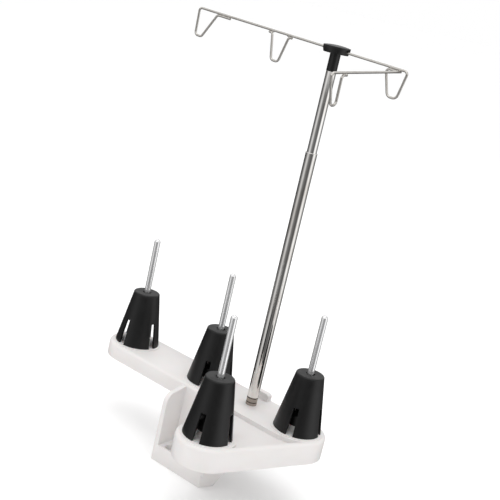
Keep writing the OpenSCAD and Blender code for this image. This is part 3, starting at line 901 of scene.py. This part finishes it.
@dataclass
class DeckHousing(Assembly):
    """The white moulded deck with its bracket.

    Attributes:
        edge_width: rounding on the moulding's small edges.
        edge_angle: angle in degrees from which an edge is rounded.
    """

    edge_width: float = 0.45 * MM
    edge_angle: float = 28.0

    def build(self) -> None:
        """Builds the housing from its solid, with rounded edges."""
        deck = self.copied("deck_housing", "deck_moulding", self.finishes.housing)
        softened(deck, self.edge_width, self.edge_angle)
        self.seat(deck, Body.STAND, Slot.HOUSING, "deck_housing")


@dataclass
class SpoolStation(Assembly):
    """One spool pin with its cone, whose own heights are measured from its foot.

    Attributes:
        number: number of the spool, from 1 to 4.
        at: X and Y of the pin.
        seat_z: height of the seat that the cone stands on.
        pin_radius: radius of the pin.
        pin_foot: height of the pin's hidden end.
        pin_tip: height of the pin's domed tip.
        groove: start, end and depth of the round groove in the pin.
        groove_edge: half of the height in which the groove starts or ends.
        dome_steps: steps in the pin's dome.
        sides: sides of the turned pin and bell.
        foot_radius: the cone's radius at its foot.
        top_radius: the cone's radius at its top.
        height: height of the cone.
        wall: thickness of the cone's wall.
        wall_heights: heights of the wall's rows, one of them the slots' end.
        edge_round: rounding of the shell's small edges.
        top_round: rounding of the cone's top edge.
        mouth_round: rounding of the sleeve's upper edge.
        slots: number of slots.
        slot_width: width of a slot at its end.
        slot_flare: how much wider a slot is at the foot.
        slot_height: height of the slots' end.
        slot_angle: angle of the first slot in degrees.
        slot_columns: mesh columns across a slot.
        wall_columns: mesh columns from one slot to the next.
        narrowest: radius below which a slot's angle stays the same.
        hub_radius: inner radius of the sleeve.
        sleeve_foot: height of the sleeve's lower end.
        bell_radius: outer radius of the sleeve's wide end.
        bell_foot: height of the bell's rim.
        bell_wall: thickness of the bell.
        bell_slope: height of the slope from the bell to the sleeve.
        finger_radii: inner and outer radius of a finger.
        finger_half: half of a finger's angle in degrees.
        finger_depths: depths of a finger's foot and head below the cone's top.
        finger_steps: steps along a finger's arc.
        finger_round: rounding of a finger's edges.
        web_half: half of a web's thickness.
        web_rise: height of a web's foot above the slots.
    """

    number: int = 1
    at: Point = (0.0, 0.0)
    seat_z: float = 72.0 * MM
    pin_radius: float = 2.85 * MM
    pin_foot: float = 62.2 * MM
    pin_tip: float = 176.6 * MM
    groove: tuple[float, float, float] = (121.8 * MM, 123.8 * MM, 0.4 * MM)
    groove_edge: float = 0.15 * MM
    dome_steps: int = 11
    sides: int = 48
    foot_radius: float = 21.0 * MM
    top_radius: float = 12.2 * MM
    height: float = 51.2 * MM
    wall: float = 1.8 * MM
    wall_heights: tuple[float, ...] = tuple(
        height * MM
        for height in (0.0, 0.9, 3.0, 8.0, 13.0, 18.0, 22.5, 24.0, 25.5, 32.0, 38.0, 44.0, 48.0))
    edge_round: float = 0.35 * MM
    top_round: float = 1.4 * MM
    mouth_round: float = 0.5 * MM
    slots: int = 4
    slot_width: float = 5.0 * MM
    slot_flare: float = 1.6 * MM
    slot_height: float = 24.0 * MM
    slot_angle: float = 13.0
    slot_columns: int = 4
    wall_columns: int = 20
    narrowest: float = 9.0 * MM
    hub_radius: float = 3.9 * MM
    sleeve_foot: float = 12.8 * MM
    bell_radius: float = 10.4 * MM
    bell_foot: float = 5.2 * MM
    bell_wall: float = 1.1 * MM
    bell_slope: float = 2.5 * MM
    finger_radii: tuple[float, float] = (2.93 * MM, 4.6 * MM)
    finger_half: float = 30.0
    finger_depths: tuple[float, float] = (6.0 * MM, 0.7 * MM)
    finger_steps: int = 8
    finger_round: float = 0.25 * MM
    web_half: float = 0.7 * MM
    web_rise: float = 4.0 * MM

    def build(self, ring: RingOf) -> None:
        """Builds the pin, the cone's shell, its bell, its fingers and its webs.

        Args:
            ring: the tree that repeats shapes round the pin.
        """
        self.build_pin()
        body = Body[f"CONE_{self.number}"]
        node = f"spool_cone_{self.number}"
        for piece in (self.shell(), self.bell(), self.fingers(ring), self.webs(ring)):
            self.seat(piece, body, Slot.CONE, node)

    def build_pin(self) -> None:
        """Builds the chrome pin with its groove and its domed tip."""
        r = self.pin_radius
        low, high, dip = self.groove
        edge = self.groove_edge
        profile: list[Point] = [
            (0.0, self.pin_foot), (r, self.pin_foot), (r, low - edge), (r - dip, low + edge),
            (r - dip, high - edge), (r, high)]
        for k in range(self.dome_steps):
            turn = math.pi / 2 * k / self.dome_steps
            profile.append((r * math.cos(turn), self.pin_tip - r + r * math.sin(turn)))
        profile.append((0.0, self.pin_tip))
        mesh = turned_mesh(profile, self.at, self.sides, f"pin_{self.number}")
        shade(mesh, 40.0)
        piece = new_piece(f"spool_pin_{self.number}_chrome", mesh, self.finishes.pin)
        self.seat(piece, Body.STAND, Slot.PIN, f"spool_pin_{self.number}")

    def radius_at(self, height: float) -> float:
        """Gives the cone's outer radius at a height above its foot."""
        return self.foot_radius - (self.foot_radius - self.top_radius) * height / self.height

    def shell_rows(self) -> list[Point]:
        """Lists the shell's outer line: up the wall, over the top and down the sleeve.

        Returns:
            Points as radius and height above the cone's foot.
        """
        top = self.height
        hub = self.hub_radius
        rows = [(self.radius_at(height), height) for height in self.wall_heights]
        corner = [rows[-1], (self.radius_at(top), top), (hub + 1.2 * MM, top)]
        rows += rounded_profile(corner, [0.0, self.top_round, 0.0], 6)[1:]
        mouth = [rows[-1], (hub, top), (hub, self.sleeve_foot)]
        return rows + rounded_profile(mouth, [0.0, self.mouth_round, 0.0], 3)[1:]

    def column_angles(self, radius: float) -> list[float]:
        """Lists the angles of the shell's columns at a radius, with slots that widen to the foot.

        Args:
            radius: radius of the row.

        Returns:
            The angles in radians: for each slot its columns and then those of the wall after it.
        """
        narrow = self.radius_at(self.slot_height)
        share = max(0.0, (radius - narrow) / (self.foot_radius - narrow))
        width = self.slot_width + self.slot_flare * share
        half = math.asin(width / 2 / max(radius, self.narrowest))
        span = math.tau / self.slots - 2 * half
        angles = []
        for i in range(self.slots):
            middle = math.radians(self.slot_angle) + i * math.tau / self.slots
            for k in range(self.slot_columns):
                angles.append(middle - half + 2 * half * k / self.slot_columns)
            for k in range(self.wall_columns):
                angles.append(middle + half + span * k / self.wall_columns)
        return angles

    def shell_sheet(self) -> bpy.types.Mesh:
        """Builds the shell's outer sheet, leaving the slots out.

        Returns:
            The sheet's mesh.
        """
        work = bmesh.new()
        x, y = self.at
        rings = []
        for radius, height in self.shell_rows():
            rings.append([
                work.verts.new((
                    x + radius * math.cos(angle), y + radius * math.sin(angle),
                    self.seat_z + height))
                for angle in self.column_angles(radius)])
        slot_rows = sum(0 < height <= self.slot_height for height in self.wall_heights)
        pitch = self.slot_columns + self.wall_columns
        count = len(rings[0])
        for row, (low, high) in enumerate(zip(rings, rings[1:])):
            for i in range(count):
                if row < slot_rows and i % pitch < self.slot_columns:
                    continue
                j = (i + 1) % count
                work.faces.new((low[i], low[j], high[j], high[i]))
        loose = [vertex for vertex in work.verts if not vertex.link_faces]
        bmesh.ops.delete(work, geom=loose, context="VERTS")
        mesh = bpy.data.meshes.new(f"cone_{self.number}")
        work.to_mesh(mesh)
        work.free()
        return mesh

    def shell(self) -> bpy.types.Object:
        """Builds the cone's shell with its four slots.

        Returns:
            The shell.
        """
        piece = new_piece(f"cone_{self.number}_shell", self.shell_sheet(), self.finishes.cone)
        wall = piece.modifiers.new("wall", "SOLIDIFY")
        wall.thickness = self.wall
        wall.offset = -1.0
        wall.use_even_offset = True
        softened(piece, self.edge_round, 40.0)
        return piece

    def bell(self) -> bpy.types.Object:
        """Builds the wide end of the inner sleeve, which drops over the seat's boss.

        Returns:
            The bell.
        """
        bore = self.hub_radius + 0.1 * MM
        sleeve = self.hub_radius + self.wall * 0.8
        outer = self.bell_radius
        inner = outer - self.bell_wall
        foot = self.sleeve_foot
        roof = foot + 1.2 * MM
        top = roof + self.bell_slope
        line = [(bore, foot), (inner, foot), (inner, self.bell_foot), (outer, self.bell_foot),
                (outer, roof), (sleeve, top), (bore, top)]
        rim = 0.3 * MM
        profile = rounded_profile(line, [0.0, rim, rim, rim, 1.2 * MM, 0.5 * MM, 0.0], 4)
        rows = [(radius, self.seat_z + height) for radius, height in profile]
        mesh = turned_mesh(rows + [rows[0]], self.at, self.sides, f"bell_{self.number}")
        shade(mesh)
        return new_piece(f"cone_{self.number}_bell", mesh, self.finishes.cone)

    def fingers(self, ring: RingOf) -> bpy.types.Object:
        """Builds the four fingers that grip the pin.

        Args:
            ring: the tree that repeats shapes round the pin.

        Returns:
            The fingers.
        """
        inner, outer = self.finger_radii
        low, high = (self.height - depth for depth in self.finger_depths)
        half = math.radians(self.finger_half)
        sections = []
        for k in range(self.finger_steps + 1):
            turn = -half + 2 * half * k / self.finger_steps
            sections.append([
                (radius * math.cos(turn), radius * math.sin(turn), height)
                for radius, height in ((inner, low), (outer, low), (outer, high), (inner, high))])
        piece = self.repeated(ring, "fingers", lofted_mesh(sections, "finger"), self.slot_angle)
        softened(piece, self.finger_round, 50.0)
        return piece

    def webs(self, ring: RingOf) -> bpy.types.Object:
        """Builds the four webs between the sleeve and the wall.

        Args:
            ring: the tree that repeats shapes round the pin.

        Returns:
            The webs.
        """
        low = self.slot_height + self.web_rise
        high = self.height - self.wall / 2
        inner = self.hub_radius + 1.0 * MM
        reach_low, reach_high = (self.radius_at(height) - self.wall / 2 for height in (low, high))
        sections = [
            [(inner, y, low), (reach_low, y, low), (reach_high, y, high), (inner, y, high)]
            for y in (-self.web_half, self.web_half)]
        half_pitch = 180.0 / self.slots
        piece = self.repeated(ring, "webs", lofted_mesh(sections, "web"), self.slot_angle + half_pitch)
        shade(piece.data)
        return piece

    def repeated(self, ring: RingOf, name: str, host: bpy.types.Mesh, angle: float) -> bpy.types.Object:
        """Repeats a shape round the pin, once for each slot.

        Args:
            ring: the tree that repeats shapes.
            name: name of the piece on this cone.
            host: the shape, built about the origin with its middle along X.
            angle: angle of the first copy in degrees.

        Returns:
            The piece with all copies.
        """
        return ring.made(
            f"cone_{self.number}_{name}", host, self.finishes.cone, Count=self.slots,
            First_angle=math.radians(angle), Step_angle=math.tau / self.slots,
            Centre=(*self.at, self.seat_z))


@dataclass
class Mast(Assembly):
    """The telescopic mast: two plated tubes.

    Attributes:
        at: X and Y of the mast's axis.
        tube_radius: outer radius of the lower tube.
        wall: thickness of both tubes.
        upper_radius: outer radius of the upper tube.
        foot: height of the lower tube's hidden end.
        deck: height of the deck round the mast.
        lower_end: height of the lower tube's top.
        upper_foot: height of the upper tube's hidden end.
        upper_end: height of the upper tube's top.
        neck: length of the lower tube's drawn-in end.
        neck_radius: inner radius of that end.
        grooves: heights of the rolled grooves above the deck.
        groove_depth: depth of a groove.
        groove_half: half of a groove's height.
        sides: sides of the turned tubes.
    """

    at: Point = MAST_AT
    tube_radius: float = 5.0 * MM
    wall: float = 0.5 * MM
    upper_radius: float = 4.23 * MM
    foot: float = 59.2 * MM
    deck: float = 71.2 * MM
    lower_end: float = 302.3 * MM
    upper_foot: float = 262.3 * MM
    upper_end: float = 370.7 * MM
    neck: float = 4.0 * MM
    neck_radius: float = 4.31 * MM
    grooves: tuple[float, float] = (2.9 * MM, 7.2 * MM)
    groove_depth: float = 0.22 * MM
    groove_half: float = 0.6 * MM
    sides: int = 64

    @classmethod
    def groove_heights(cls) -> tuple[float, ...]:
        """Gives the heights of the grooves in the frame."""
        return tuple(cls.deck + groove for groove in cls.grooves)

    def build(self) -> None:
        """Builds both tubes."""
        self.seat(self.lower_tube(), Body.STAND, Slot.MAST, "mast_lower_tube")
        self.seat(self.upper_tube(), Body.SLIDER, Slot.MAST, "mast_upper_tube")

    def lower_tube(self) -> bpy.types.Object:
        """Builds the lower tube with its rolled grooves and turned-in end.

        Returns:
            The tube.
        """
        r = self.tube_radius
        inner = r - self.wall
        profile: list[Point] = [(inner, self.foot), (r, self.foot)]
        for groove in self.grooves:
            for k in range(-4, 5):
                share = k / 4
                dip = self.groove_depth * (1 + math.cos(math.pi * share)) / 2
                profile.append((r - dip, self.deck + groove + share * self.groove_half))
        end = self.lower_end
        tight = self.neck_radius
        neck = end - self.neck
        profile += rounded_profile(
            [(r, end - 3.0 * MM), (r, end), (tight, end), (tight, neck), (inner, neck),
             (inner, neck - 2.0 * MM)],
            [0.0, 0.45 * MM, 0.15 * MM, 0.0, 0.0, 0.0], 5)
        profile.append((inner, self.foot))
        return self.tube("lower_tube", profile, self.finishes.mast)

    def upper_tube(self) -> bpy.types.Object:
        """Builds the upper tube.

        Returns:
            The tube.
        """
        r = self.upper_radius
        inner = r - self.wall
        foot = self.upper_foot
        end = self.upper_end
        rim = 0.15 * MM
        line = [(r, foot + 1 * MM), (r, end), (inner, end), (inner, foot + 1 * MM)]
        profile = [(inner, foot), (r, foot), *rounded_profile(line, [0.0, rim, rim, 0.0], 3),
                   (inner, foot)]
        return self.tube("upper_tube", profile, self.finishes.inner_mast)

    def tube(self, name: str, profile: Sequence[Point], finish: bpy.types.Material) -> bpy.types.Object:
        """Turns a tube about the mast's axis.

        Args:
            name: name of the tube.
            profile: its closed profile as radius and height.
            finish: its finish.

        Returns:
            The tube.
        """
        mesh = turned_mesh(profile, self.at, self.sides, name)
        shade(mesh, 40.0)
        return new_piece(f"mast_{name}_plated", mesh, finish)


@dataclass
class GuideHead(Assembly):
    """The black head and the wire guide that it holds.

    Attributes:
        origin: where the long wire crosses the mast's axis.
        tilt: tilt of the long wire, in degrees.
        droop: droop of the cross wire, in degrees.
        wire: radius of the wires.
        drop: distance between two wires' middles where one lies under the other.
        left: length of the long wire to the left of the mast.
        right: its length to the right.
        arm_at: place of the cross wire along the long one.
        arm_reach: length of the cross wire.
        depth: depth of the loops.
        widths: widths of the outer left, inner left, cross and right loops.
        tails: lengths of the tails of the outer left, inner left and cross loops.
        loop_foot: width of a loop's lower end.
        foot_shift: how far the outer loops' feet shift, inwards on the left and up on the right.
        inner_loop_at: place of the inner left loop, to the left of the mast.
        bend: usual bend radius.
        loop_round: bend radius at a loop's foot.
        bead: radius of a weld bead.
        bead_stretch: length of a bead as a share of its width.
        lid_round: rounding of the head's edges.
    """

    origin: Corner = (*MAST_AT, 388.2 * MM)
    tilt: float = 2.0
    droop: float = 4.3
    wire: float = 1.0 * MM
    drop: float = 1.88 * MM
    left: float = 152.0 * MM
    right: float = 69.0 * MM
    arm_at: float = 61.5 * MM
    arm_reach: float = 93.2 * MM
    depth: float = 24.0 * MM
    widths: tuple[float, float, float, float] = (22.0 * MM, 18.0 * MM, 14.4 * MM, 20.0 * MM)
    tails: tuple[float, float, float] = (15.0 * MM, 3.4 * MM, 6.0 * MM)
    loop_foot: float = 7.5 * MM
    foot_shift: float = 1.5 * MM
    inner_loop_at: float = 58.0 * MM
    bend: float = 2.6 * MM
    loop_round: float = 3.4 * MM
    bead: float = 0.85 * MM
    bead_stretch: float = 2.1
    lid_round: float = 0.3 * MM

    def build(self, wires: BentWire, beads: BeadsAt) -> None:
        """Builds the head and the wires.

        Args:
            wires: the tree that bends wires.
            beads: the tree that places weld beads.
        """
        for node in ("head_stem", "head_lid"):
            piece = self.copied(node, f"{node}_moulding", self.finishes.head)
            softened(piece, self.lid_round, 35.0)
            self.seat(piece, Body.HEAD, Slot.HEAD, node)
        bar = self.bar_frame()
        cross = self.cross_frame()
        self.add_wire(wires, "long_guide_wire", self.long_wire(), bar,
                      "guide_bar", "thread_loop_1", "thread_loop_4")
        self.add_wire(wires, "inner_loop_wire", self.inner_loop(), bar, "thread_loop_2")
        self.add_wire(wires, "cross_guide_wire", self.cross_wire(), cross,
                      "guide_cross_wire", "thread_loop_3")
        self.add_beads(beads, "bar_welds", self.bar_welds(), bar)
        self.add_beads(beads, "cross_welds", self.cross_welds(), cross)

    def bar_frame(self) -> Matrix:
        """Gives the long wire's own frame, X along the wire."""
        return Matrix.Translation(self.origin) @ Matrix.Rotation(math.radians(self.tilt), 4, "Y")

    def cross_frame(self) -> Matrix:
        """Gives the cross wire's own frame, X to the front.

        Returns:
            The frame, at the cross wire's root under the long wire.
        """
        to_front = Matrix.Rotation(math.radians(-90.0), 4, "Z")
        down = Matrix.Rotation(math.radians(self.droop), 4, "Y")
        return self.bar_frame() @ Matrix.Translation((self.arm_at, 0.0, -self.drop)) @ to_front @ down

    def long_wire(self) -> list[Corner]:
        """Lists the long wire's corners, from one tail through both end loops to the other.

        Returns:
            Points as place along the wire, height and bend radius.
        """
        left = -self.left
        right = self.right
        left_foot = left + self.foot_shift
        usual = self.bend
        low = -self.depth
        # The right loop's foot is higher, wider and rounder, and nearer to its outer leg.
        high = low + self.foot_shift
        middle = right - 0.4 * self.widths[3]
        foot = self.loop_foot / 2 + 0.5 * MM
        wide = self.loop_round + 1.0 * MM
        return [
            (left + self.widths[0] + self.tails[0], -self.drop, 0.0),
            (left + self.widths[0], -self.drop, usual),
            (left_foot + self.loop_foot, low, self.loop_round),
            (left_foot, low, self.loop_round),
            (left, 0.0, usual), (right, 0.0, usual),
            (middle + foot, high, wide), (middle - foot, high, wide),
            (right - self.widths[3], -self.drop, usual),
            (self.arm_at - 2.5 * self.wire, -self.drop, 0.0)]

    def inner_loop(self) -> list[Corner]:
        """Lists the inner left loop's corners.

        Returns:
            Points as place along the wire, height and bend radius.
        """
        at = -self.inner_loop_at
        top = self.widths[1] / 2
        foot = self.loop_foot / 2
        low = -self.depth
        return [
            (at - top - self.tails[1], -self.drop, 0.0), (at - top, -self.drop, self.bend),
            (at - foot, low, self.loop_round), (at + foot, low, self.loop_round),
            (at + top, -self.drop, self.bend), (at + top + self.tails[1], -self.drop, 0.0)]

    def cross_wire(self) -> list[Corner]:
        """Lists the cross wire's corners, from the long wire to its end loop's tail.

        Returns:
            Points as place along the cross wire, height and bend radius.
        """
        far = self.arm_reach
        near = far - self.widths[2]
        foot = self.loop_foot * 0.85
        low = -self.depth
        return [
            (-2 * self.wire, 0.0, 0.0), (far, 0.0, self.bend),
            (near + foot, low, self.loop_round), (near, low, self.loop_round),
            (near, -self.drop, self.bend), (near - self.tails[2], -self.drop, 0.0)]

    def bar_welds(self) -> list[float]:
        """Lists the places of the weld beads along the long wire.

        Returns:
            Places along the wire: two on the left tail, two on the inner loop, two at the right.
        """
        left = -self.left + self.widths[0]
        at = -self.inner_loop_at
        half = self.widths[1] / 2 - 0.4 * MM
        return [left + self.tails[0] * 0.45, left + self.tails[0] * 0.85, at - half, at + half,
                self.right - self.widths[3] + 4 * MM, self.arm_at]

    def cross_welds(self) -> list[float]:
        """Lists the places of the weld beads along the cross wire's tail."""
        near = self.arm_reach - self.widths[2]
        return [near - self.tails[2] * 0.35, near - self.tails[2] * 0.8]

    def add_wire(self, wires: BentWire, name: str, path: Sequence[Corner], frame: Matrix,
                 *nodes: str) -> None:
        """Bends one wire and lets it ride on the head.

        Args:
            wires: the tree that bends wires.
            name: name of the piece.
            path: its corners in the frame's X-Z plane.
            frame: the wire's own frame.
            nodes: the CAD nodes that it stands for.
        """
        host = bpy.data.meshes.new(name)
        places = [frame @ Vector((x, 0.0, z)) for x, z, _ in path]
        host.from_pydata(places, [(i, i + 1) for i in range(len(places) - 1)], [])
        bends = host.attributes.new(wires.bend, "FLOAT", "POINT")
        bends.data.foreach_set("value", [radius for _, _, radius in path])
        piece = wires.made(name, host, self.finishes.wire, Wire_radius=self.wire,
                           Bend_steps=12, Wire_sides=20)
        shade(piece.data, 45.0)
        self.seat(piece, Body.HEAD, Slot.WIRE, *nodes)

    def add_beads(self, beads: BeadsAt, name: str, places: Sequence[float], frame: Matrix) -> None:
        """Adds the weld beads where a tail lies along another wire.

        Args:
            beads: the tree that places weld beads.
            name: name of the piece.
            places: places of the beads along the wire.
            frame: the wire's own frame.
        """
        seam = -self.drop / 2
        host = bpy.data.meshes.new(name)
        host.from_pydata([frame @ Vector((x, 0.0, seam)) for x in places], [], [])
        way = frame.to_3x3() @ Vector((1.0, 0.0, 0.0))
        piece = beads.made(name, host, self.finishes.wire, Bead_radius=self.bead,
                           Bead_length=self.bead_stretch, Along=tuple(way))
        shade(piece.data, 60.0)
        self.seat(piece, Body.HEAD, Slot.WIRE)


@dataclass
class HiddenHardware(Assembly):
    """Screws, washers, plug and glide, which keep their CAD shapes."""

    def build(self) -> None:
        """Dresses the small parts."""
        for node in ("pin_screws", "pin_washers", "mast_screw", "mast_washer", "mast_foot_plug"):
            self.dress(node, self.finishes.zinc)
        self.dress("mast_glide", self.finishes.nylon)

    def dress(self, node: str, material: bpy.types.Material) -> None:
        """Puts a material on a CAD node.

        Args:
            node: name of the node.
            material: its finish.
        """
        part = self.solids[node]
        for slot in part.material_slots:
            slot.material = material
        LOG.info("%s: dressed", node)


# Studio


@dataclass(frozen=True)
class Softbox:
    """A square soft light.

    Attributes:
        name: name of the light.
        place: its place in metres.
        power: its power in watts.
        side: length of its side in metres.
    """

    name: str
    place: Corner
    power: float
    side: float

    def hang(self, aim: Corner) -> None:
        """Adds the light to the scene.

        Args:
            aim: the point that it faces.
        """
        data = bpy.data.lights.new(self.name, "AREA")
        data.energy = self.power
        data.size = self.side
        light = bpy.data.objects.new(self.name, data)
        light.location = self.place
        way = Vector(aim) - Vector(self.place)
        light.rotation_euler = way.to_track_quat("-Z", "Y").to_euler()
        bpy.context.scene.collection.objects.link(light)


@dataclass
class Studio:
    """Floor, soft lights, surroundings and the camera at the photograph's view.

    Attributes:
        azimuth: the camera's bearing from the front, towards +X, in degrees.
        elevation: the camera's height angle in degrees.
        roll: the camera's roll in degrees.
        distance: distance from the aim's plane in metres.
        aim: the point that the camera's distance is measured from.
        slide: the camera's shift to its right and up, in metres.
        focal: the lens's focal length in mm, on a 36 mm sensor.
        floor_half: half of the floor's side.
        sky_light: strength of the surroundings as a light.
        dome_starts: heights on the unit sphere where the white dome starts and is full.
        dome_fades: heights on the unit sphere where the dome starts and ends to darken.
        zenith: brightness of the dome overhead.
        bands: what metal reflects below the dome, as bearing from the camera in degrees and
            brightness.
        lights: the soft lights.
        light_aim: the point that the lights face.
    """

    azimuth: float = 35.40
    elevation: float = 14.84
    roll: float = 13.02
    distance: float = 0.880
    aim: Corner = (0.032, 0.041, 0.072)
    slide: Point = (-0.00218, 0.1366)
    focal: float = 71.28
    floor_half: float = 40.0
    sky_light: float = 1.06
    dome_starts: tuple[float, float] = (0.12, 0.28)
    dome_fades: tuple[float, float] = (0.45, 0.8)
    zenith: float = 0.45
    bands: tuple[tuple[float, float], ...] = (
        (-180, 0.05), (-140, 0.06), (-112, 0.14), (-96, 0.17), (-80, 0.42), (-64, 0.72),
        (-50, 0.66), (-36, 0.4), (-22, 0.2), (-6, 0.16), (12, 0.12), (28, 0.12), (39, 0.42),
        (52, 1.0), (72, 1.15), (88, 0.8), (106, 0.36), (126, 0.22), (150, 0.06))
    lights: tuple[Softbox, ...] = (
        Softbox("top_softbox", (0.05, 0.05, 1.8), power=8.0, side=1.6),
        Softbox("key_softbox", (0.1, -1.1, 1.5), power=2.5, side=1.4),
        Softbox("fill_softbox", (-1.2, 0.2, 1.3), power=1.0, side=1.2))
    light_aim: Corner = (0.0, 0.0, 0.15)

    def build(self) -> None:
        """Builds everything round the rack."""
        self.add_camera()
        self.add_floor()
        self.add_world()
        for light in self.lights:
            light.hang(self.light_aim)
        bpy.context.scene.view_settings.view_transform = "Standard"

    def axes(self) -> tuple[Vector, Vector, Vector]:
        """Gives the camera's right, up and back directions.

        Returns:
            Three unit vectors.
        """
        a = math.radians(self.azimuth)
        e = math.radians(self.elevation)
        back = Vector((math.sin(a) * math.cos(e), -math.cos(a) * math.cos(e), math.sin(e)))
        level = Vector((0.0, 0.0, 1.0)).cross(back).normalized()
        upright = back.cross(level)
        r = math.radians(self.roll)
        return (math.cos(r) * level + math.sin(r) * upright,
                -math.sin(r) * level + math.cos(r) * upright, back)

    def add_camera(self) -> None:
        """Adds the camera and makes it the scene's."""
        right, up, back = self.axes()
        place = Vector(self.aim) + back * self.distance + right * self.slide[0] + up * self.slide[1]
        data = bpy.data.cameras.new("photo_view")
        data.lens = self.focal
        data.sensor_width = 36.0
        camera = bpy.data.objects.new("photo_view", data)
        turn = Matrix((right, up, back)).transposed().to_4x4()
        camera.matrix_world = Matrix.Translation(place) @ turn
        bpy.context.scene.collection.objects.link(camera)
        bpy.context.scene.camera = camera

    def add_floor(self) -> None:
        """Adds the plain pale floor."""
        mesh = bpy.data.meshes.new("floor")
        half = self.floor_half
        rim = [(-half, -half, 0), (half, -half, 0), (half, half, 0), (-half, half, 0)]
        mesh.from_pydata(rim, [], [(0, 1, 2, 3)])
        tree = ShaderTree("floor_paint")
        tree.constant(Base_Color=(0.96, 0.96, 0.96, 1.0), Roughness=0.9, Specular_IOR_Level=0.1)
        floor = new_piece("floor", mesh, tree.material)
        floor.visible_glossy = False

    def add_world(self) -> None:
        """Adds plain white surroundings, in which glossy rays see bands and a dome instead."""
        world = bpy.data.worlds.new("studio")
        world.use_nodes = True
        sky = TreeBuilder(world.node_tree)
        sky.tree.nodes.clear()
        path = sky.node("ShaderNodeLightPath")
        plain = sky.node("ShaderNodeBackground")
        mirror = sky.node("ShaderNodeBackground")
        mix = sky.node("ShaderNodeMixShader")
        out = sky.node("ShaderNodeOutputWorld")
        plain.inputs["Color"].default_value = (1.0, 1.0, 1.0, 1.0)
        strength = sky.ranged(path.outputs["Is Camera Ray"], self.sky_light, 1.0, 0.0, 1.0)
        sky.link(strength, plain.inputs["Strength"])
        sky.link(self.mirrored(sky), mirror.inputs["Color"])
        sky.link(path.outputs["Is Glossy Ray"], mix.inputs["Fac"])
        sky.link(plain.outputs["Background"], mix.inputs[1])
        sky.link(mirror.outputs["Background"], mix.inputs[2])
        sky.link(mix.outputs["Shader"], out.inputs["Surface"])
        bpy.context.scene.world = world

    def mirrored(self, sky: TreeBuilder) -> Socket:
        """Builds what glossy rays see: bands round the horizon and a white dome above them.

        Args:
            sky: the world's tree.

        Returns:
            The colour of the surroundings.
        """
        way = sky.node("ShaderNodeTexCoord").outputs["Generated"]
        bearing = sky.node("ShaderNodeTexGradient", gradient_type="RADIAL")
        ramp = sky.node("ShaderNodeValToRGB")
        dome = sky.node("ShaderNodeMix", data_type="RGBA")
        height = sky.height_of(way)
        self.set_bands(ramp.color_ramp)
        sky.link(way, bearing.inputs["Vector"])
        sky.link(bearing.outputs["Fac"], ramp.inputs["Fac"])
        sky.link(sky.ranged(height, 0.0, 1.0, *self.dome_starts), dome.inputs["Factor"])
        sky.link(ramp.outputs["Color"], dome.inputs["A"])
        sky.link(sky.ranged(height, 1.0, self.zenith, *self.dome_fades), dome.inputs["B"])
        return dome.outputs["Result"]

    def set_bands(self, ramp: bpy.types.ColorRamp) -> None:
        """Puts the bands on a colour ramp that runs once round the horizon.

        Args:
            ramp: the ramp.
        """
        facing = -90.0 + self.azimuth
        stops = sorted(
            (((facing + bearing) / 360.0 + 0.5) % 1.0, level) for bearing, level in self.bands)
        ramp.interpolation = "EASE"
        while len(ramp.elements) > 1:
            ramp.elements.remove(ramp.elements[-1])
        ramp.elements[0].position = stops[0][0]
        for share, _ in stops[1:]:
            ramp.elements.new(share)
        for element, (_, level) in zip(ramp.elements, stops):
            element.color = (level, level, level, 1.0)


def main() -> None:
    """Loads the frame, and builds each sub-assembly and the studio."""
    logging.basicConfig(level=logging.INFO, format="%(name)s: %(message)s")
    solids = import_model()["nodes"]
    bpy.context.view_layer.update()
    finishes = Finishes(Mast.groove_heights())
    ring = RingOf()
    DeckHousing(solids, finishes).build()
    # X and Y of each pin in mm, and the angle of its cone's first slot in degrees.
    stations = ((-115.0, 41.0, 86.0), (-20.0, 41.0, 21.0), (52.0, -44.0, 13.0), (82.0, 41.0, 16.0))
    for number, (x, y, turn) in enumerate(stations, start=1):
        at = (x * MM, y * MM)
        SpoolStation(solids, finishes, number=number, at=at, slot_angle=turn).build(ring)
    Mast(solids, finishes).build()
    GuideHead(solids, finishes).build(BentWire(), BeadsAt())
    HiddenHardware(solids, finishes).build()
    Studio().build()


if __name__ == "__main__":
    main()
